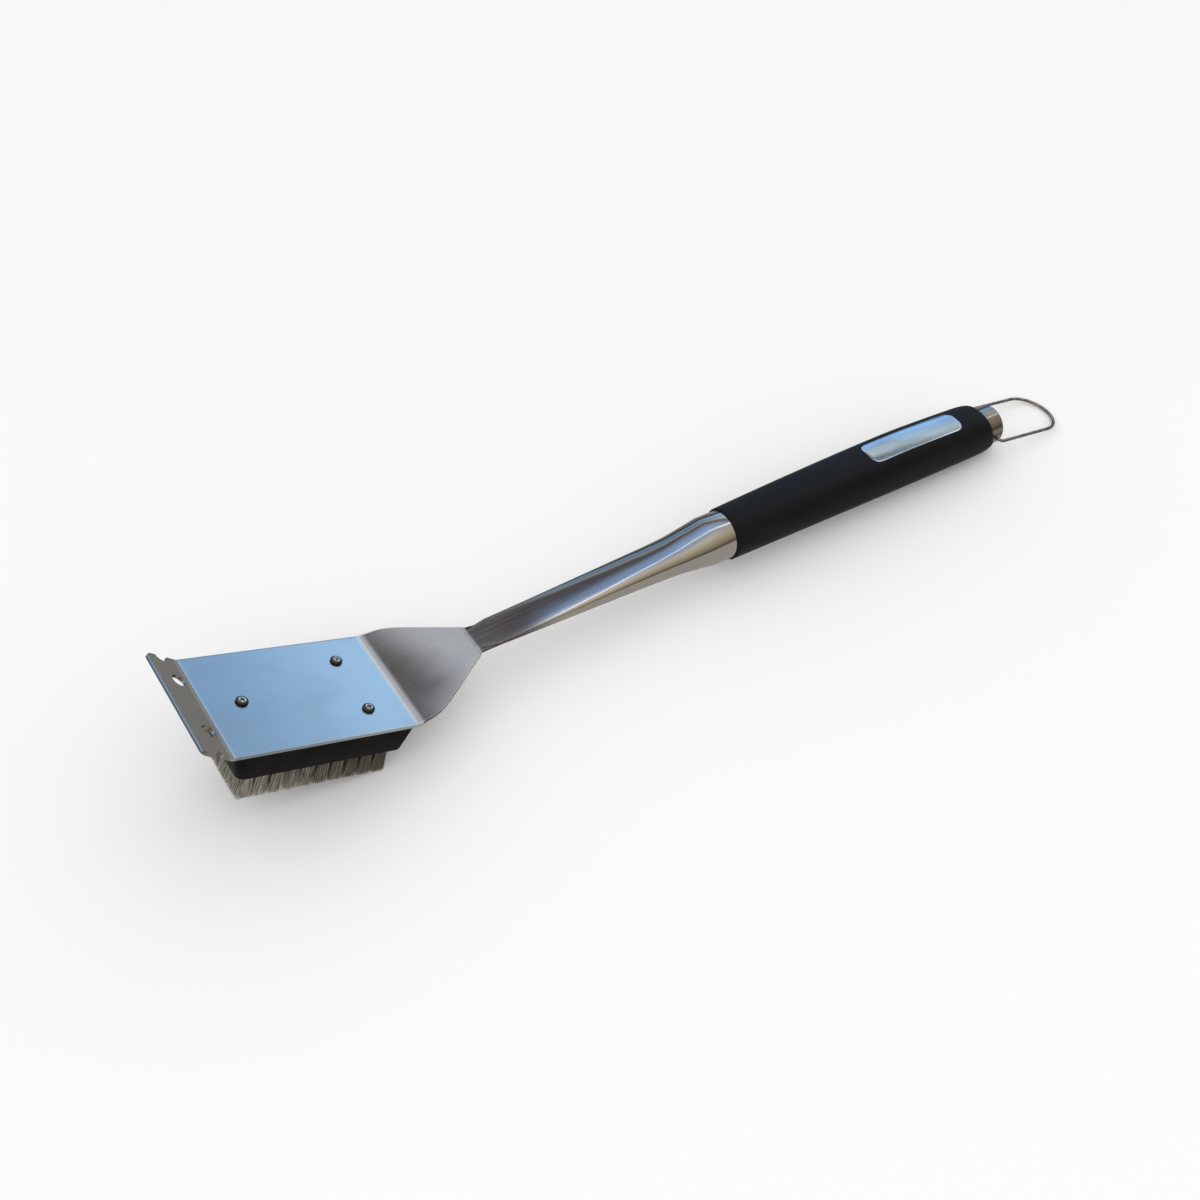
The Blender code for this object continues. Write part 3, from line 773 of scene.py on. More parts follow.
@dataclass(frozen=True)
class ScrewPlate(Finish):
    """Bright plating with painted shade in the recess and round the rim."""

    name: str = "screw_plating"
    slot: str = "screw_steel"
    bright: Colour = (0.78, 0.75, 0.68)
    rim_and_recess_shade: Colour = (0.05, 0.045, 0.04)
    spot_scale: float = 900.0

    def paint(self, graph: Graph, local: Value) -> dict[str, object]:
        """Plating that darkens towards the head's rim and down in the cross.

        Args:
            graph: The material's nodes.
            local: Coordinates in the piece's own frame, in metres.

        Returns:
            Values and links by socket name.
        """
        x, y, z = graph.parts(local)
        radius = (x * x + y * y) ** 0.5
        spots = graph.noise(local, self.spot_scale, 3.0)
        # painted shade: darker round the head's rim and down in the cross recess
        rim = (radius + 0.0004 * (spots - 0.5)).rise(0.0016, 0.0021)
        recess_shade_mask = z.rise(Screws.head_top - 0.0004, Screws.head_top - 0.0009)
        tone = graph.mix(rim * 0.92, self.bright, self.rim_and_recess_shade)
        return {
            "Base Color": graph.mix(recess_shade_mask * 0.9, tone, self.rim_and_recess_shade),
            "Metallic": 1.0,
            "Roughness": 0.22 + 0.25 * rim + 0.1 * spots,
            "Normal": graph.bump(spots, 0.00003, 0.3),
        }


@dataclass(frozen=True)
class SoftRubber(Finish):
    """Soft-touch black rubber with a fine matte skin."""

    name: str = "soft_touch_rubber"
    slot: str = "grip_rubber"
    tone: Colour = (0.0028, 0.0030, 0.0048)
    dusty: Colour = (0.0060, 0.0064, 0.0095)
    skin_scale: float = 3200.0
    mark_scale: Point = (14.0, 60.0, 60.0)

    def paint(self, graph: Graph, local: Value) -> dict[str, object]:
        """A fine skin, with faint handling marks along the grip.

        Args:
            graph: The material's nodes.
            local: Coordinates in the piece's own frame, in metres.

        Returns:
            Values and links by socket name.
        """
        skin = graph.noise(local, self.skin_scale, 2.0)
        marks = graph.noise(graph.stretched(local, self.mark_scale), 1.0, 4.0)
        return {
            "Base Color": graph.mix(marks.rise(0.42, 0.8), self.tone, self.dusty),
            "Roughness": 0.50 + 0.10 * (marks - 0.5),
            "Specular IOR Level": 0.22,
            "Normal": graph.bump(skin, 0.00003, 0.22),
        }


@dataclass(frozen=True)
class InlaySteel(Finish):
    """Polished inlay with hairlines along its length, tinted blue as a painted sky reflection."""

    name: str = "inlay_steel"
    slot: str = "badge_steel"
    # painted reflection: both colours are tinted blue for the sky the polish mirrors
    tone: Colour = (0.60, 0.74, 0.84)
    clouded_painted_reflection: Colour = (0.40, 0.48, 0.56)
    hairline_scale: Point = (25.0, 1600.0, 1600.0)
    cloud_scale: Point = (40.0, 120.0, 60.0)

    def paint(self, graph: Graph, local: Value) -> dict[str, object]:
        """Hairlines and soft clouds in the polish.

        Args:
            graph: The material's nodes.
            local: Coordinates in the piece's own frame, in metres.

        Returns:
            Values and links by socket name.
        """
        hairlines = graph.noise(graph.stretched(local, self.hairline_scale), 1.0, 3.0, 0.7)
        clouds = graph.noise(graph.stretched(local, self.cloud_scale), 1.0, 2.0)
        return {
            "Base Color": graph.mix(clouds.rise(0.35, 0.7) * 0.5 + hairlines * 0.2, self.tone, self.clouded_painted_reflection),
            "Metallic": 1.0,
            "Roughness": 0.13 + 0.10 * hairlines,
            "Normal": graph.bump(hairlines, 0.00001, 0.3),
        }


@dataclass(frozen=True)
class CapSteel(Finish):
    """Satin cap with turning marks round its axis."""

    name: str = "turned_cap_steel"
    slot: str = "cap_steel"
    tone: Colour = (0.46, 0.44, 0.41)
    dark: Colour = (0.26, 0.245, 0.225)
    ring_scale: float = 2200.0
    cloud_scale: float = 160.0

    def paint(self, graph: Graph, local: Value) -> dict[str, object]:
        """Turning rings on the end face and fine rings along the side.

        Args:
            graph: The material's nodes.
            local: Coordinates in the piece's own frame, in metres.

        Returns:
            Values and links by socket name.
        """
        x, y, z = graph.parts(local)
        radius = (y * y + z * z) ** 0.5
        rings = graph.node("ShaderNodeCombineXYZ", None, {0: x * self.ring_scale, 1: radius * self.ring_scale})
        marks = graph.noise(rings, 1.0, 3.0)
        clouds = graph.noise(local, self.cloud_scale, 3.0)
        return {
            "Base Color": graph.mix(marks.rise(0.3, 0.75) * 0.4 + clouds * 0.3, self.tone, self.dark),
            "Metallic": 1.0,
            "Roughness": 0.13 + 0.08 * marks,
            "Normal": graph.bump(marks, 0.00002, 0.3),
        }


@dataclass(frozen=True)
class LoopWire(Finish):
    """Polished spring wire with drawing marks."""

    name: str = "spring_wire"
    slot: str = "loop_wire"
    tone: Colour = (0.44, 0.41, 0.37)
    dark: Colour = (0.19, 0.175, 0.155)
    stain_scale: float = 260.0
    mark_scale: float = 2400.0

    def paint(self, graph: Graph, local: Value) -> dict[str, object]:
        """Faint stains along the wire.

        Args:
            graph: The material's nodes.
            local: Coordinates in the piece's own frame, in metres.

        Returns:
            Values and links by socket name.
        """
        stains = graph.noise(local, self.stain_scale, 4.0)
        marks = graph.noise(local, self.mark_scale, 2.0)
        return {
            "Base Color": graph.mix(stains.rise(0.35, 0.7), self.tone, self.dark),
            "Metallic": 1.0,
            "Roughness": 0.16 + 0.12 * stains,
            "Normal": graph.bump(marks, 0.00002, 0.2),
        }


def dress(obj: bpy.types.Object, finish: Finish, place: Place) -> None:
    """Gives a piece its finish.

    Args:
        obj: The piece.
        finish: Its finish.
        place: The frame that the finish's pattern follows.
    """
    if finish.name not in MADE:
        MADE[finish.name] = finish.make(place)
    material = MADE[finish.name]
    obj.data.materials.clear()
    obj.data.materials.append(material)


def mount_piece(obj: bpy.types.Object, body: str, *nodes: str) -> None:
    """Makes a piece move with a body and stand for its CAD nodes, and reports it.

    Args:
        obj: The finished piece.
        body: The body it rides on.
        nodes: The nodes it stands for.
    """
    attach(obj, body)
    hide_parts(*nodes)
    log.info("%s: %d faces, stands for %s", obj.name, len(obj.data.polygons), ", ".join(nodes))


# --- Blade -----------------------------------------------------------------------------------------------


@dataclass
class Neck:
    """Sizes of the cranked neck between plate and shaft."""

    start: float = 0.0987
    run: float = 0.0445
    rise: float = 0.0198
    shoulder: float = 0.0130
    taper: float = 0.66
    blend: float = 0.0022


@dataclass
class Shaft:
    """Sizes of the channel and tube, along the handle's axis."""

    angle: float = math.radians(19.8)
    axis_over_strip: float = 0.0010
    half_strip: float = 0.0091
    tube_radius: float = 0.0143
    tube_full: float = 0.150
    grip_start: float = 0.1625
    # distance, half width, top height, centre height, lower depth, squareness, wrap of the lower half
    sections: tuple[tuple[float, ...], ...] = (
        (0.000, 0.0091, -0.0004, -0.0010, 0.0021, 6.0, 0.25),
        (0.025, 0.0095, 0.0004, -0.0010, 0.0031, 5.0, 0.30),
        (0.050, 0.0099, 0.0022, -0.0010, 0.0042, 4.0, 0.36),
        (0.075, 0.0104, 0.0043, -0.0010, 0.0052, 3.2, 0.44),
        (0.100, 0.0110, 0.0066, -0.0010, 0.0065, 2.6, 0.58),
        (0.125, 0.0119, 0.0090, -0.0008, 0.0086, 2.2, 0.82),
        (0.138, 0.0130, 0.0116, -0.0003, 0.0115, 2.05, 0.95),
        (0.150, 0.0143, 0.0143, 0.0000, 0.0143, 2.0, 0.985),
    )


@dataclass
class Blade:
    """The one steel sheet: scraper lip, plate, neck, channel shaft and tube."""

    blade: Place
    handle: Place
    finish: Finish = field(default_factory=BladeSteel)
    sheet: float = 0.0018
    width: float = 0.0665
    lip_forward: float = 0.0160
    lip_rise: float = 0.0077
    lip_corner: float = 0.0025
    bend: float = 0.003
    rear_bend: float = 0.009
    neck_from: float = 0.004
    neck_to_end: float = 0.0016
    tube_step: float = 0.004
    tube_slimming: float = 0.97
    points: int = 65
    edge: float = 0.00035
    # distance from the lip's bend, place across on either side, radius
    lip_hole: Point = (0.0062, 0.0170, 0.0038)
    lip_notch: Point = (0.0090, 0.0330, 0.0033)
    screw_hole: float = 0.0021
    punch_length: float = 0.012

    def ring(self, section: Sequence[tuple[float, float]], at: Vector, angle: float) -> Ring:
        """Returns one closed ring across the sheet.

        Args:
            section: The sheet's outer line, as (across, over).
            at: Where the section stands, in the blade's frame.
            angle: How far the sheet climbs there.

        Returns:
            The sheet's outer side, then its inner side back again.
        """
        inner = []
        for i, (y, n) in enumerate(section):
            y0, n0 = section[max(i - 1, 0)]
            y1, n1 = section[min(i + 1, len(section) - 1)]
            length = math.hypot(y1 - y0, n1 - n0)
            inner.append((y + self.sheet * (n1 - n0) / length, n - self.sheet * (y1 - y0) / length))
        over = Vector((-math.sin(angle), 0.0, math.cos(angle)))
        return [at + Vector((0.0, y, 0.0)) + n * over for y, n in list(section) + inner[::-1]]

    def flat(self, half_width: float) -> list[tuple[float, float]]:
        """Returns a flat section of a half width."""
        return [(half_width * u, 0.0) for u in spread(-1.0, 1.0, self.points)]

    def curled(self, at: float) -> list[tuple[float, float]]:
        """Returns the channel's section at a distance along the handle.

        Args:
            at: The distance.

        Returns:
            The sheet's outer line, as (across, over).
        """
        half_width, top, centre, depth, squareness, wrap = read_table(Shaft.sections, at)
        section = []
        for u in spread(-1.0, 1.0, self.points):
            angle = math.pi / 2 - abs(u) * (math.pi / 2) * (1 + wrap)
            y = math.copysign(half_width * abs(math.cos(angle)) ** (2 / squareness), u)
            reach = abs(math.sin(angle)) ** (2 / squareness)
            over = centre + ((top - centre) * reach if angle > 0 else -depth * reach)
            section.append((y if u else 0.0, over))
        return section

    @staticmethod
    def bent(corner: Vector, angle_in: float, angle_out: float, radius: float, steps: int) -> list[Station]:
        """Returns places and slopes round one bend of the sheet's top face.

        Args:
            corner: Where the two straight runs would meet.
            angle_in: Climb before the bend, in radians.
            angle_out: Climb after it.
            radius: Radius of the bend.
            steps: Number of places.

        Returns:
            Each place with the sheet's climb there.
        """
        reach = radius * math.tan(abs(angle_out - angle_in) / 2)
        start = corner - reach * Vector((math.cos(angle_in), 0.0, math.sin(angle_in)))
        end = corner + reach * Vector((math.cos(angle_out), 0.0, math.sin(angle_out)))
        stations = []
        for t in spread(0.0, 1.0, steps):
            at = start * (1 - t) ** 2 + corner * (2 * t * (1 - t)) + end * t**2
            stations.append((at, angle_in + (angle_out - angle_in) * t))
        return stations

    def neck_half_width(self, distance: float) -> float:
        """Returns half the neck's width at a distance from the plate.

        Args:
            distance: The distance.

        Returns:
            The half width, blended at both ends of the taper.
        """
        full, strip = self.width / 2, Shaft.half_strip
        tapering = full - Neck.taper * (distance - Neck.shoulder)
        rounded = (full + tapering - math.hypot(full - tapering, 2 * Neck.blend)) / 2
        return (rounded + strip + math.hypot(rounded - strip, Neck.blend)) / 2

    def lip_half_width(self, distance: float) -> float:
        """Returns half the lip's width at a distance from its tip."""
        into = max(self.lip_corner - distance, 0.0)
        return self.width / 2 - self.lip_corner + math.sqrt(max(self.lip_corner**2 - into**2, 0.0))

    def rings(self) -> list[Ring]:
        """Returns every ring of the sheet, from the lip's tip to the tube's end, in the blade's frame.

        Returns:
            Rings of equally many points, folded shut at both ends.
        """
        lip_angle = -math.atan2(self.lip_rise, self.lip_forward)
        lip_along = Vector((math.cos(lip_angle), 0.0, math.sin(lip_angle)))
        lip_tip = Vector((-self.lip_forward, 0.0, self.lip_rise))
        neck_angle = math.atan2(Neck.rise, Neck.run)
        neck_along = Vector((math.cos(neck_angle), 0.0, math.sin(neck_angle)))
        rear_bend = Vector((Neck.start, 0.0, 0.0))
        rings = []
        for turn in spread(0.0, math.pi / 2, 9):
            distance = self.lip_corner * (1 - math.cos(turn))
            section = self.flat(self.lip_half_width(distance))
            rings.append(self.ring(section, lip_tip + distance * lip_along, lip_angle))
        for at, angle in self.bent(Vector(), lip_angle, 0.0, self.bend, 9):
            rings.append(self.ring(self.flat(self.width / 2), at, angle))
        for at, angle in self.bent(rear_bend, 0.0, neck_angle, self.rear_bend, 13):
            rings.append(self.ring(self.flat(self.width / 2), at, angle))
        for distance in spread(self.neck_from, math.hypot(Neck.run, Neck.rise) - self.neck_to_end, 30):
            section = self.flat(self.neck_half_width(distance))
            rings.append(self.ring(section, rear_bend + distance * neck_along, neck_angle))
        rings += self.shaft_rings()
        return [self.folded(rings[0])] + rings + [self.folded(rings[-1])]

    @staticmethod
    def folded(ring: Ring) -> Ring:
        """Returns a ring with its inner side laid on its outer side, which closes the sheet's end."""
        outer = ring[: len(ring) // 2]
        return outer + outer[::-1]

    def shaft_rings(self) -> list[Ring]:
        """Returns the rings along the handle.

        Returns:
            The rings of the strip, channel and tube.
        """
        start = self.blade.matrix.inverted() @ self.handle.origin
        along = Vector((math.cos(Shaft.angle), 0.0, math.sin(Shaft.angle)))
        strip = [(y, -Shaft.axis_over_strip) for y, _ in self.flat(Shaft.half_strip)]
        rings = [self.ring(strip, start + 0.0008 * along, Shaft.angle)]
        for distance in spread(0.012, Shaft.tube_full, 60) + [Shaft.grip_start]:
            rings.append(self.ring(self.curled(distance), start + distance * along, Shaft.angle))
        under_grip = Shaft.grip_start + self.tube_step
        slimming = self.tube_slimming
        slimmer = [(y * slimming, n * slimming) for y, n in self.curled(Shaft.tube_full)]
        rings.append(self.ring(slimmer, start + under_grip * along, Shaft.angle))
        return rings

    def punch(self, sheet: bpy.types.Object) -> None:
        """Makes the lip's two holes and two end notches, and the screw holes.

        Args:
            sheet: The blade, in its own frame.
        """
        lip_angle = math.atan2(self.lip_rise, self.lip_forward)
        openings = [(self.lip_hole, side) for side in (-1, 1)] + [(self.lip_notch, side) for side in (-1, 1)]
        cutters = []
        for (distance, across, radius), side in openings:
            y = side * across
            at = Place(
                Vector((-distance * math.cos(lip_angle), y, distance * math.sin(lip_angle))),
                Vector((math.cos(lip_angle), 0.0, -math.sin(lip_angle))),
                Vector((math.sin(lip_angle), 0.0, math.cos(lip_angle))),
            )
            cutters.append(Bench.put(Bench.rod("punch", radius, self.punch_length, 48), at))
        for x, y in Screws.places.values():
            cutters.append(Bench.rod("punch", self.screw_hole, self.punch_length, 32, (x, y, 0.0)))
        Bench.cut(sheet, Bench.join("punches", cutters))

    def build(self) -> bpy.types.Object:
        """Builds, places and dresses the blade.

        Returns:
            The finished blade.
        """
        sheet = Bench.loft("steel_blade", self.rings(), Ends.OPEN)
        Bench.apply(
            sheet, "BEVEL", width=self.edge, segments=2, limit_method="ANGLE", angle_limit=math.radians(50)
        )
        self.punch(sheet)
        Bench.put(sheet, self.blade)
        Bench.smooth(sheet, 30.0)
        dress(sheet, self.finish, self.blade)
        mount_piece(sheet, MAIN_BODY, "blade")
        return sheet


# --- Brush head ------------------------------------------------------------------------------------------


@dataclass
class Tufts:
    """Where the tufts stand in the block, and their sizes."""

    along: int = 10
    across: int = 7
    pitch_x: float = 0.0081
    pitch_y: float = 0.0077
    first_x: float = 0.0160
    root: float = 0.0022
    tip_x: float = 0.0041
    tip_y: float = 0.0045
    tip_z: float = -0.0363

    @staticmethod
    def row_x(row: int) -> float:
        """Returns a row's distance along the block."""
        return Tufts.first_x + row * Tufts.pitch_x

    @staticmethod
    def tuft_y(tuft: int) -> float:
        """Returns a tuft's place across the block."""
        return (tuft - (Tufts.across - 1) / 2) * Tufts.pitch_y


@dataclass
class BrushBlock:
    """The moulded block: tapered, with round corners and a hole for each tuft."""

    blade: Place
    finish: Finish = field(default_factory=BlackNylon)
    depth: float = 0.0183
    top: float = 0.0021
    top_x: tuple[float, float] = (0.0020, 0.0985)
    bottom_x: tuple[float, float] = (0.0069, 0.0960)
    top_width: float = 0.0654
    bottom_width: float = 0.0629
    corner: float = 0.0040
    lower_edge: float = 0.0007
    hole_depth: float = 0.003

    def shape(self) -> bpy.types.Object:
        """Returns the tapered block without its holes, in the blade's frame.

        Returns:
            The solid block.
        """
        Bench.clear()
        bpy.ops.mesh.primitive_cube_add(size=1.0)
        block = Bench.named("bristle_block")
        for vertex in block.data.vertices:
            upper = vertex.co.z > 0
            low_x, high_x = self.top_x if upper else self.bottom_x
            width = self.top_width if upper else self.bottom_width
            x = high_x if vertex.co.x > 0 else low_x
            vertex.co = (x, math.copysign(width / 2, vertex.co.y), -self.top if upper else -self.depth)
        Bench.hold(block)
        bpy.ops.object.mode_set(mode="EDIT")
        bpy.ops.mesh.select_mode(type="EDGE")
        bpy.ops.mesh.select_all(action="DESELECT")
        bpy.ops.object.mode_set(mode="OBJECT")
        points = block.data.vertices
        for side in block.data.edges:
            first, second = (points[i].co for i in side.vertices)
            side.select = abs(first.z - second.z) > self.depth / 2
        bpy.ops.object.mode_set(mode="EDIT")
        bpy.ops.mesh.bevel(offset=self.corner, segments=8)
        bpy.ops.mesh.select_mode(type="VERT")
        bpy.ops.object.mode_set(mode="OBJECT")
        sharp = math.radians(50)
        Bench.apply(
            block, "BEVEL", width=self.lower_edge, segments=4, limit_method="ANGLE", angle_limit=sharp
        )
        return block

    def build(self) -> bpy.types.Object:
        """Builds, places and dresses the block.

        Returns:
            The finished block.
        """
        block = self.shape()
        drills = []
        for row in range(Tufts.along):
            for tuft in range(Tufts.across):
                at = (Tufts.row_x(row), Tufts.tuft_y(tuft), -self.depth)
                drills.append(Bench.rod("drill", Tufts.root + GAP, 2 * self.hole_depth, 18, at))
        Bench.cut(block, Bench.join("drills", drills))
        Bench.put(block, self.blade)
        Bench.smooth(block, 35.0)
        dress(block, self.finish, self.blade)
        mount_piece(block, MAIN_BODY, "brush_block")
        return block


@dataclass
class Bristles:
    """Ten rows of wire tufts. Each wire starts in its tuft's hole, flares out and is trimmed flat."""

    blade: Place
    finish: Finish = field(default_factory=BristleWire)
    wires: int = 190
    wire_radius: float = 0.00020
    stops: tuple[float, ...] = (0.0, 0.14, 0.45, 1.0)
    seat: float = 0.0026
    clear: float = 0.0003
    stray: float = 0.06
    flare: float = 0.55
    crimp: float = 0.00010
    waves: float = 11.0
    trim: float = 0.00015
    seed: int = 11

    def wire_path(self, index: int, x: float, y: float, draw: random.Random) -> list[Vector]:
        """Returns one wire's centre line from inside its hole to its tip.

        Args:
            index: The wire's number in its tuft.
            x: The tuft's place along the block.
            y: The tuft's place across the block.
            draw: Source of the small differences between wires.

        Returns:
            One point for each stop.
        """
        share = math.sqrt((index + 0.5) / self.wires)
        turn = index * math.pi * (3 - math.sqrt(5))
        across, beside = share * math.cos(turn), share * math.sin(turn)
        square = share / max(abs(across), abs(beside), 1e-6)
        bundle = Tufts.root - self.clear
        root = Vector((across * bundle, beside * bundle, -BrushBlock.depth + self.seat))
        reach_x = Tufts.tip_x - self.wire_radius
        reach_y = Tufts.tip_y - self.wire_radius
        tip_x = max(-1.0, min(1.0, across * square + draw.uniform(-self.stray, self.stray)))
        tip_y = max(-1.0, min(1.0, beside * square + draw.uniform(-self.stray, self.stray)))
        tip = Vector((tip_x * reach_x, tip_y * reach_y, Tufts.tip_z + draw.uniform(0.0001, self.trim)))
        phase, heading = draw.uniform(0, math.tau), draw.uniform(0, math.tau)
        path = []
        for t in self.stops:
            bow = t**self.flare
            at = root.lerp(tip, t)
            at.x = root.x + (tip.x - root.x) * bow
            at.y = root.y + (tip.y - root.y) * bow
            wave = self.crimp * math.sin(phase + self.waves * t) * t * (1 - t) * 4
            path.append(at + Vector((x + wave * math.cos(heading), y + wave * math.sin(heading), 0.0)))
        return path

    def row(self, row: int) -> bpy.types.Object:
        """Returns one row of tufts as a mesh of thin four-sided wires, in the blade's frame.

        Args:
            row: The row's number, from the scraper's end.

        Returns:
            The row.
        """
        draw = random.Random(self.seed + row)
        mesh = bmesh.new()
        for tuft in range(Tufts.across):
            for index in range(self.wires):
                path = self.wire_path(index, Tufts.row_x(row), Tufts.tuft_y(tuft), draw)
                turn = draw.uniform(0, math.pi / 2)
                angles = [turn + math.pi / 2 * k for k in range(4)]
                corners = [Vector((math.cos(a), math.sin(a), 0.0)) * self.wire_radius for a in angles]
                rings = [[mesh.verts.new(at + corner) for corner in corners] for at in path]
                for upper, lower in zip(rings, rings[1:]):
                    for k in range(4):
                        mesh.faces.new((upper[k], lower[k], lower[k - 3], upper[k - 3]))
                mesh.faces.new(rings[0])
                mesh.faces.new(rings[-1][::-1])
        data = bpy.data.meshes.new(f"wire_tufts_{row + 1:02d}")
        bmesh.ops.recalc_face_normals(mesh, faces=mesh.faces)
        mesh.to_mesh(data)
        mesh.free()
        obj = bpy.data.objects.new(data.name, data)
        bpy.context.scene.collection.objects.link(obj)
        return obj

    def build(self) -> list[bpy.types.Object]:
        """Builds, places and dresses every row.

        Returns:
            The ten rows.
        """
        rows = []
        for number in range(Tufts.along):
            row = Bench.put(self.row(number), self.blade)
            dress(row, self.finish, self.blade)
            mount_piece(row, MAIN_BODY, f"bristle_row_{number + 1:02d}")
            rows.append(row)
        return rows


@dataclass
class Screws:
    """Three pan-head screws with a cross recess."""

    blade: Place
    places: ClassVar[dict[str, tuple[float, float]]] = {
        "screw_front": (0.0187, 0.0),
        "screw_rear_left": (0.0779, 0.0175),
        "screw_rear_right": (0.0779, -0.0175),
    }
    head_top: float = 0.0019
    head_radius: float = 0.0031
    shank: float = 0.0016
    shank_end: float = -0.0060
    point: float = 0.001
    rim_round: float = 0.0001
    rim_height: float = 0.0004
    crown: float = 0.35
    arm: float = 0.0018
    arm_half: float = 0.00042
    recess: float = 0.0011
    turns: tuple[float, ...] = (20.0, 55.0, 90.0)

    def head_profile(self) -> list[tuple[float, float]]:
        """Returns the turned profile, from the shank's point to the crown of the head.

        Returns:
            Points of (distance, radius).
        """
        profile = [(self.shank_end, 0.0), (self.shank_end + self.point, self.shank), (GAP, self.shank)]
        profile += [(GAP, self.head_radius - self.rim_round), (GAP + self.rim_round, self.head_radius)]
        shoulder = GAP + self.rim_height
        for angle in spread(0.0, math.radians(80), 10):
            rise = (Screws.head_top - shoulder) * math.sin(angle)
            share = self.crown + (1 - self.crown) * math.cos(angle)
            profile.append((shoulder + rise, self.head_radius * share))
        profile.append((Screws.head_top, 0.0))
        return profile

    def cross(self) -> bpy.types.Object:
        """Returns the tapered cross that the recess is cut with.

        Returns:
            The cutter, in the screw's own frame.
        """
        arms = []
        for turn in (0.0, math.pi / 2):
            Bench.clear()
            bpy.ops.mesh.primitive_cube_add(size=1.0)
            arm = Bench.named("recess_arm")
            for vertex in arm.data.vertices:
                low = vertex.co.z < 0
                reach = self.arm * (0.5 if low else 1.05)
                half = self.arm_half * (0.75 if low else 1.1)
                z = Screws.head_top + (-self.recess if low else 0.0006)
                vertex.co = (math.copysign(reach, vertex.co.x), math.copysign(half, vertex.co.y), z)
            arm.data.transform(Matrix.Rotation(turn, 4, "Z"))
            arms.append(arm)
        first, second = arms
        Bench.apply(first, "BOOLEAN", operation="UNION", object=second, solver="MANIFOLD")
        bpy.data.objects.remove(second, do_unlink=True)
        return first

    def build(self) -> list[bpy.types.Object]:
        """Builds, places and dresses the three screws.

        Returns:
            The three screws.
        """
        built = []
        for turn, (node, (x, y)) in zip(self.turns, Screws.places.items()):
            screw = Bench.spin(node.replace("screw", "pan_head"), self.head_profile(), 48)
            screw.data.transform(Matrix.Rotation(-math.pi / 2, 4, "Y"))
            Bench.cut(screw, self.cross())
            screw.data.transform(Matrix.Rotation(math.radians(turn), 4, "Z"))
            at = self.blade.shifted(x, y, 0.0)
            Bench.put(screw, at)
            Bench.smooth(screw, 40.0)
            dress(screw, ScrewPlate(name=f"{node}_plating"), at)
            mount_piece(screw, MAIN_BODY, node)
            built.append(screw)
        return built


# --- Handle ----------------------------------------------------------------------------------------------


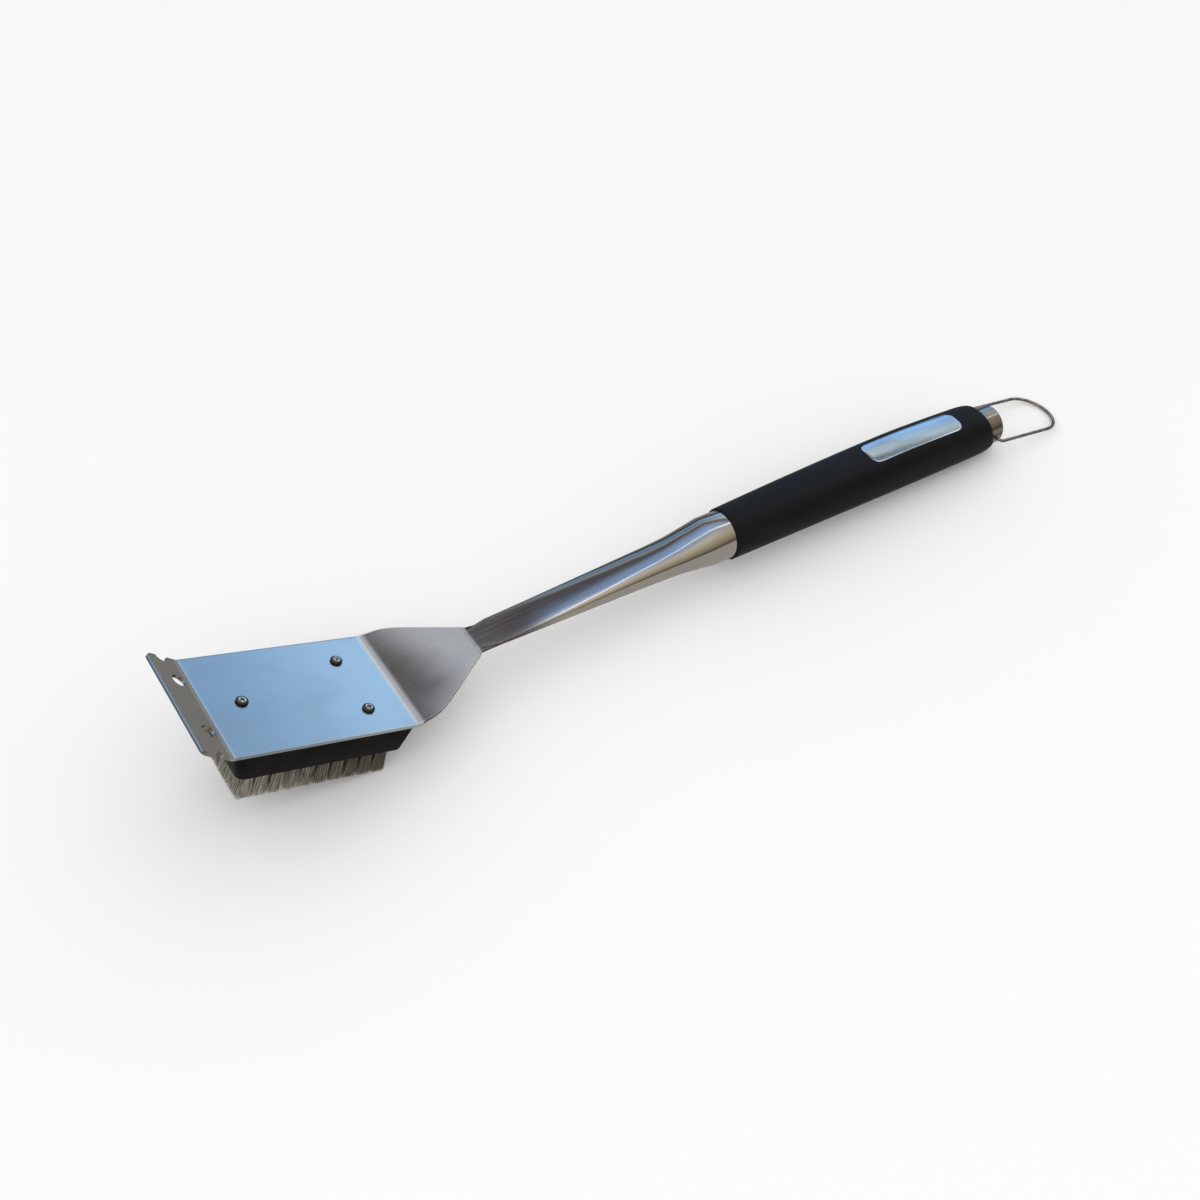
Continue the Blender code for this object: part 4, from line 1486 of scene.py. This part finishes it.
@dataclass
class Grip:
    """The soft sleeve: round at the tube, crowned under the inlay, leaning and rounded at its end."""

    handle: Place
    finish: Finish = field(default_factory=SoftRubber)
    end: float = 0.3660
    start_radius: float = 0.0153
    front_edge: float = 0.0004
    core: float = 0.0119
    crown_peak: float = 0.295
    crown_front: float = 0.133
    crown_rear: float = 0.098
    crown: tuple[float, float, float] = (0.0014, 0.0026, -0.0017)
    squareness: float = 0.8
    round_start: float = 0.3520
    end_inset: float = 0.0020
    end_lean: float = 0.0045
    sides: int = 96

    def size(self, at: float) -> tuple[float, float, float, float]:
        """Returns half width, height over the axis, depth under it and squareness at a distance.

        Args:
            at: The distance along the handle.

        Returns:
            The four sizes.
        """
        reach = self.crown_front if at < self.crown_peak else self.crown_rear
        share = max(1 - abs((at - self.crown_peak) / reach) ** 1.5, 0.0)
        wider, higher, deeper = (self.start_radius + extra * share for extra in self.crown)
        return wider, higher, deeper, 2 + self.squareness * share

    def top(self, at: float, y: float) -> float:
        """Returns the height of the grip's top over the handle's axis."""
        half_width, height, _, squareness = self.size(at)
        return height * (1 - abs(y / half_width) ** squareness) ** (1 / squareness)

    def ring(self, at: float, inset: float = 0.0, lean: float = 0.0) -> Ring:
        """Returns one ring of the outer skin.

        Args:
            at: Distance along the handle.
            inset: How far the skin is drawn in.
            lean: How far the ring's top leans back.

        Returns:
            The ring.
        """
        half_width, height, depth, squareness = self.size(at)
        ring = []
        for i in range(self.sides):
            angle = math.tau * i / self.sides
            power = 2 / squareness if math.sin(angle) > 0 else 1.0
            y = math.copysign(abs(math.cos(angle)) ** power, math.cos(angle)) * (half_width - inset)
            n = math.copysign(abs(math.sin(angle)) ** power, math.sin(angle))
            n *= (height if n > 0 else depth) - inset
            ring.append(Vector((at - lean * n / self.start_radius, y, n)))
        return ring

    def bore(self, at: float, radius: float, lean: float = 0.0) -> Ring:
        """Returns one ring of the bore.

        Args:
            at: Distance along the handle.
            radius: The ring's radius.
            lean: How far the ring's top leans back.

        Returns:
            The ring.
        """
        ring = []
        for i in range(self.sides):
            angle = math.tau * i / self.sides
            y, n = radius * math.cos(angle), radius * math.sin(angle)
            ring.append(Vector((at - lean * n / self.start_radius, y, n)))
        return ring

    def rings(self) -> list[Ring]:
        """Returns the closed line of rings: out along the skin and back through the bore.

        Returns:
            The rings, of equally many points.
        """
        front = Shaft.grip_start + GAP
        tube = Shaft.tube_radius + 0.00005
        rings = [self.bore(front + 0.003, tube), self.bore(front, tube)]
        rings.append(self.bore(front, self.start_radius - self.front_edge))
        for turn in spread(0.0, math.pi / 2, 5)[1:]:
            inset = self.front_edge * (1 - math.sin(turn))
            rings.append(self.ring(front + 0.0005 * (1 - math.cos(turn)), inset=inset))
        for distance in spread(front + 0.002, self.round_start - 0.002, 64):
            rings.append(self.ring(distance))
        for turn in spread(0.0, math.pi / 2, 12):
            at = self.round_start + (self.end - self.round_start) * math.sin(turn)
            inset = self.end_inset * (1 - math.cos(turn))
            rings.append(self.ring(at, inset, self.end_lean * turn / (math.pi / 2)))
        mouth = EndCap.radius + GAP
        rings.append(self.bore(self.end - 0.0001, mouth + 0.0004, self.end_lean))
        rings.append(self.bore(self.end - 0.0005, mouth, self.end_lean))
        rings.append(self.bore(EndCap.start - 0.0004, mouth))
        rings.append(self.bore(EndCap.start - 0.0008, self.core))
        return rings

    def build(self) -> bpy.types.Object:
        """Builds, places and dresses the grip.

        Returns:
            The finished grip.
        """
        grip = Bench.loft("grip_sleeve", self.rings(), Ends.JOINED)
        inlay = Inlay(self.handle, self)
        Bench.cut(grip, inlay.patch("pocket", GAP * 0.6, -inlay.thickness, inlay.headroom))
        Bench.put(grip, self.handle)
        Bench.smooth(grip, 35.0)
        dress(grip, self.finish, self.handle)
        mount_piece(grip, MAIN_BODY, "grip")
        return grip


@dataclass
class Inlay:
    """The metal plate let into the grip's crown."""

    handle: Place
    grip: Grip
    finish: Finish = field(default_factory=InlaySteel)
    start: float = 0.2675
    end: float = 0.3405
    half_width: float = 0.0083
    corner: float = 0.0050
    thickness: float = 0.0012
    sink: float = 0.0001
    edge: float = 0.0002
    headroom: float = 0.006
    stations: int = 41

    def outline_inset(self, y: float, half: float, corner: float) -> float:
        """Returns how far the rounded corners pull the two ends in at a place across."""
        into = max(abs(y) - (half - corner), 0.0)
        return corner - math.sqrt(max(corner**2 - into**2, 0.0))

    def patch(self, name: str, grown: float, low: float, high: float) -> bpy.types.Object:
        """Returns a plate with round corners that follows the crown between two heights off it.

        Args:
            name: Name of the new object.
            grown: How much larger than the inlay it is, all round.
            low: Height of its underside off the crown.
            high: Height of its top off the crown.

        Returns:
            The plate, in the handle's frame.
        """
        half, corner = self.half_width + grown, self.corner + grown
        start, end = self.start - grown, self.end + grown
        stations = self.stations
        across = [half * math.sin(math.pi / 2 * u) for u in spread(-1.0, 1.0, stations)]
        sheets = []
        for off in (low, high):
            rows = []
            for y in across:
                inset = self.outline_inset(y, half, corner)
                stops = spread(start + inset, end - inset, stations)
                rows.append([Vector((x, y, self.grip.top(x, y) + off)) for x in stops])
            sheets.append(rows)
        mesh = bmesh.new()
        under, upper = ([[mesh.verts.new(p) for p in row] for row in rows] for rows in sheets)
        for rows in (under, upper):
            for first, second in zip(rows, rows[1:]):
                for k in range(stations - 1):
                    mesh.faces.new((first[k], first[k + 1], second[k + 1], second[k]))
        rim_under = self.rim(under)
        rim_upper = self.rim(upper)
        for k in range(len(rim_under)):
            mesh.faces.new((rim_under[k - 1], rim_under[k], rim_upper[k], rim_upper[k - 1]))
        data = bpy.data.meshes.new(name)
        bmesh.ops.recalc_face_normals(mesh, faces=mesh.faces)
        mesh.to_mesh(data)
        mesh.free()
        obj = bpy.data.objects.new(name, data)
        bpy.context.scene.collection.objects.link(obj)
        return obj

    @staticmethod
    def rim(rows: list[list[bmesh.types.BMVert]]) -> list[bmesh.types.BMVert]:
        """Returns a sheet's outer points in order round it.

        Args:
            rows: The sheet's rows of points.

        Returns:
            The points.
        """
        first_side = [row[0] for row in rows]
        second_side = [row[-1] for row in rows]
        return rows[0][1:-1] + second_side + rows[-1][-2:0:-1] + first_side[::-1]

    def build(self) -> bpy.types.Object:
        """Builds, places and dresses the inlay.

        Returns:
            The finished inlay.
        """
        plate = self.patch("handle_inlay", 0.0, -self.thickness + GAP, -self.sink)
        Bench.weld(plate, 0.000005)
        sharp = math.radians(55)
        Bench.apply(plate, "BEVEL", width=self.edge, segments=3, limit_method="ANGLE", angle_limit=sharp)
        Bench.put(plate, self.handle)
        Bench.smooth(plate, 40.0)
        dress(plate, self.finish, self.handle)
        mount_piece(plate, MAIN_BODY, "badge")
        return plate


@dataclass
class EndCap:
    """The turned metal cap at the grip's end, with a cross hole for the loop."""

    handle: Place
    finish: Finish = field(default_factory=CapSteel)
    radius: float = 0.0124
    start: float = 0.3590
    end: float = 0.3763
    pivot: float = 0.3700
    rim: float = 0.0016
    wall: float = 0.0010
    play: float = 0.00025
    drill_length: float = 0.04

    def profile(self) -> list[tuple[float, float]]:
        """Returns the cap's turned profile from the middle of its face to the inside of its end wall.

        Returns:
            Points of (distance, radius).
        """
        inner = self.radius - self.wall
        profile = [(self.end - 0.0002, 0.0), (self.end, self.radius * 0.55)]
        for turn in spread(0.0, math.pi / 2, 10):
            inset = self.rim * (1 - math.sin(turn))
            profile.append((self.end - self.rim * (1 - math.cos(turn)), self.radius - inset))
        profile += [(self.start, self.radius), (self.start, inner)]
        profile += [(self.end - self.wall, inner), (self.end - self.wall, 0.0)]
        return profile

    def build(self) -> bpy.types.Object:
        """Builds, places and dresses the cap.

        Returns:
            The finished cap.
        """
        cap = Bench.spin("handle_cap", self.profile(), 96)
        drill = Bench.rod("cross_drill", HangingLoop.wire + self.play, self.drill_length, 32)
        across = Matrix.Rotation(math.pi / 2, 4, "X")
        drill.data.transform(Matrix.Translation((self.pivot, 0.0, 0.0)) @ across)
        Bench.cut(cap, drill)
        Bench.put(cap, self.handle)
        Bench.smooth(cap, 35.0)
        dress(cap, self.finish, self.handle)
        mount_piece(cap, MAIN_BODY, "end_cap")
        return cap


@dataclass
class HangingLoop:
    """The wire bail: two ends turned into the cap, straight legs and a round end."""

    place: Place
    finish: Finish = field(default_factory=LoopWire)
    wire: float = 0.0010
    reach: float = 0.0620
    half_width: float = 0.0168
    bend: float = 0.0030
    tail: float = 0.0040

    def route(self) -> list[Vector]:
        """Returns half of the wire's centre line, from its tail to the middle of the round end.

        Returns:
            The points of that half.
        """
        points = [Vector((0.0, self.tail, 0.0)), Vector((0.0, self.half_width - self.bend - 0.0006, 0.0))]
        for turn in spread(0.0, math.pi / 2, 12):
            x = self.bend * (1 - math.cos(turn))
            points.append(Vector((x, self.half_width - self.bend * (1 - math.sin(turn)), 0.0)))
        centre = self.reach - self.half_width
        for turn in spread(math.pi / 2, 0.0, 28):
            x = centre + self.half_width * math.cos(turn)
            points.append(Vector((x, self.half_width * math.sin(turn), 0.0)))
        return points

    def build(self) -> bpy.types.Object:
        """Builds, places and dresses the loop.

        Returns:
            The finished loop.
        """
        half = self.route()
        route = half + [Vector((p.x, -p.y, 0.0)) for p in reversed(half[:-1])]
        curve = bpy.data.curves.new("loop_bail", "CURVE")
        curve.dimensions = "3D"
        curve.bevel_depth = self.wire
        curve.bevel_resolution = 6
        curve.use_fill_caps = True
        line = curve.splines.new("POLY")
        line.points.add(len(route) - 1)
        for point, at in zip(line.points, route):
            point.co = (*at, 1.0)
        bail = bpy.data.objects.new("loop_bail", curve)
        bpy.context.scene.collection.objects.link(bail)
        Bench.hold(bail)
        bpy.ops.object.convert(target="MESH")
        bail = Bench.named("loop_bail")
        Bench.weld(bail, 0.000005)
        Bench.put(bail, self.place)
        Bench.smooth(bail, 50.0)
        dress(bail, self.finish, self.place)
        mount_piece(bail, LOOP_BODY, "hanging_loop")
        return bail


# --- Studio ----------------------------------------------------------------------------------------------


@dataclass
class Studio:
    """The floor, the soft lights, the surroundings that the steel mirrors, and the camera."""

    camera_at: Point = (-0.36341, -0.41336, 0.58443)
    camera_right: Point = (0.83292, -0.55157, 0.04479)
    camera_back: Point = (-0.39749, -0.54000, 0.74189)
    lens: float = 42.0
    floor_tone: Colour = (0.91, 0.91, 0.91)
    mirrored_floor: Colour = (0.36, 0.345, 0.32)
    pale: Colour = (1.0, 1.0, 1.0)
    floor_size: float = 12.0
    floor_height: float = -0.0002
    lamp_at: Point = (-0.5, -0.9, 1.6)
    lamp_size: float = 1.4
    lamp_power: float = 3.0
    # what reflections see of the two sides, from the horizon at 0 to straight up at 1
    cool_side: tuple[tuple[float, Colour], ...] = (
        (0.00, (0.01, 0.012, 0.02)),
        (0.13, (0.02, 0.03, 0.06)),
        (0.24, (0.20, 0.36, 0.62)),
        (0.35, (0.46, 0.72, 0.98)),
        (0.46, (0.25, 0.42, 0.66)),
        (0.57, (0.52, 0.56, 0.60)),
        (0.63, (0.72, 0.68, 0.62)),
        (0.70, (0.15, 0.14, 0.135)),
        (0.755, (0.12, 0.125, 0.15)),
        (0.80, (0.40, 0.42, 0.46)),
        (0.86, (0.40, 0.48, 0.62)),
        (1.00, (0.56, 0.64, 0.76)),
    )
    warm_side: tuple[tuple[float, Colour], ...] = (
        (0.00, (0.015, 0.012, 0.01)),
        (0.05, (0.02, 0.017, 0.013)),
        (0.14, (0.14, 0.115, 0.08)),
        (0.45, (0.30, 0.25, 0.18)),
        (0.70, (0.40, 0.35, 0.27)),
        (1.00, (0.60, 0.58, 0.55)),
    )

    def camera(self) -> None:
        """Stands the camera."""
        data = bpy.data.cameras.new("view")
        data.lens = self.lens
        data.sensor_width = 36.0
        data.clip_start = 0.01
        camera = bpy.data.objects.new("view", data)
        back, right = Vector(self.camera_back), Vector(self.camera_right)
        turn = Matrix((right, back.cross(right), back)).transposed()
        camera.matrix_world = Matrix.Translation(self.camera_at) @ turn.to_4x4()
        bpy.context.scene.collection.objects.link(camera)
        bpy.context.scene.camera = camera

    def floor(self) -> None:
        """Lays the pale floor."""
        Bench.clear()
        bpy.ops.mesh.primitive_plane_add(size=self.floor_size, location=(0.0, 0.0, self.floor_height))
        floor = Bench.named("studio_floor")
        material = bpy.data.materials.new("studio_floor")
        material.use_nodes = True
        graph = Graph(material.node_tree)
        shader = material.node_tree.nodes["Principled BSDF"]
        shader.inputs["Base Color"].default_value = (*self.floor_tone, 1.0)
        shader.inputs["Roughness"].default_value = 1.0
        shader.inputs["Specular IOR Level"].default_value = 0.0
        inputs = {"Color": self.mirrored_floor, "Strength": 1.0}
        mirrored = graph.node("ShaderNodeEmission", None, inputs)
        glossy = graph.node("ShaderNodeLightPath", None, None, "Is Glossy Ray")
        inputs = {0: glossy, 1: Value(graph, shader.outputs[0]), 2: mirrored}
        mixed = graph.node("ShaderNodeMixShader", None, inputs)
        graph.feed(material.node_tree.nodes["Material Output"].inputs["Surface"], mixed)
        floor.data.materials.append(material)

    def surroundings(self) -> None:
        """Paints the world: plain and pale, but blue, warm and with a bright strip in reflections."""
        world = bpy.data.worlds.new("studio")
        bpy.context.scene.world = world
        world.use_nodes = True
        graph = Graph(world.node_tree)
        direction = graph.node("ShaderNodeTexCoord", None, None, "Generated")
        _, y, z = graph.parts(direction)
        cool = graph.ramp(z, self.cool_side)
        warm = graph.ramp(z, self.warm_side)
        mirrored = graph.mix(y.rise(-0.12, 0.10), warm, cool)
        strip = y.band(-0.06, 0.0, 0.03) * z.rise(0.45, 0.75)
        mirrored = graph.mix(strip, mirrored, (1.0, 1.0, 1.0))
        glossy = graph.node("ShaderNodeLightPath", None, None, "Is Glossy Ray")
        colour = graph.mix(glossy, self.pale, mirrored)
        strength = 1.0 + 0.25 * glossy + 1.2 * glossy * strip
        graph.feed(world.node_tree.nodes["Background"].inputs["Color"], colour)
        graph.feed(world.node_tree.nodes["Background"].inputs["Strength"], strength)

    def lamp(self) -> None:
        """Hangs one soft lamp that looks at the brush and isn't mirrored in it."""
        data = bpy.data.lights.new("key_lamp", "AREA")
        data.shape = "DISK"
        data.size = self.lamp_size
        data.energy = self.lamp_power
        lamp = bpy.data.objects.new("key_lamp", data)
        lamp.location = self.lamp_at
        lamp.rotation_euler = (-Vector(self.lamp_at)).to_track_quat("-Z", "Y").to_euler()
        lamp.visible_glossy = False
        bpy.context.scene.collection.objects.link(lamp)

    def build(self) -> None:
        """Sets up everything round the brush."""
        settings = bpy.context.scene.view_settings
        settings.view_transform = "Standard"
        settings.look = "None"
        self.camera()
        self.floor()
        self.surroundings()
        self.lamp()


def main() -> None:
    """Builds the brush piece by piece, then the studio round it."""
    logging.basicConfig(level=logging.INFO, format="%(message)s")
    blade = blade_place()
    handle = handle_place(blade)
    Blade(blade, handle).build()
    BrushBlock(blade).build()
    Bristles(blade).build()
    Screws(blade).build()
    grip = Grip(handle)
    grip.build()
    Inlay(handle, grip).build()
    EndCap(handle).build()
    dress(frame["nodes"]["tube_plug"], BlackNylon(name="plug_plastic", slot="plug_nylon"), handle)
    HangingLoop(loop_place(blade)).build()
    Studio().build()
    Bench.clear()


if __name__ == "__main__":
    main()
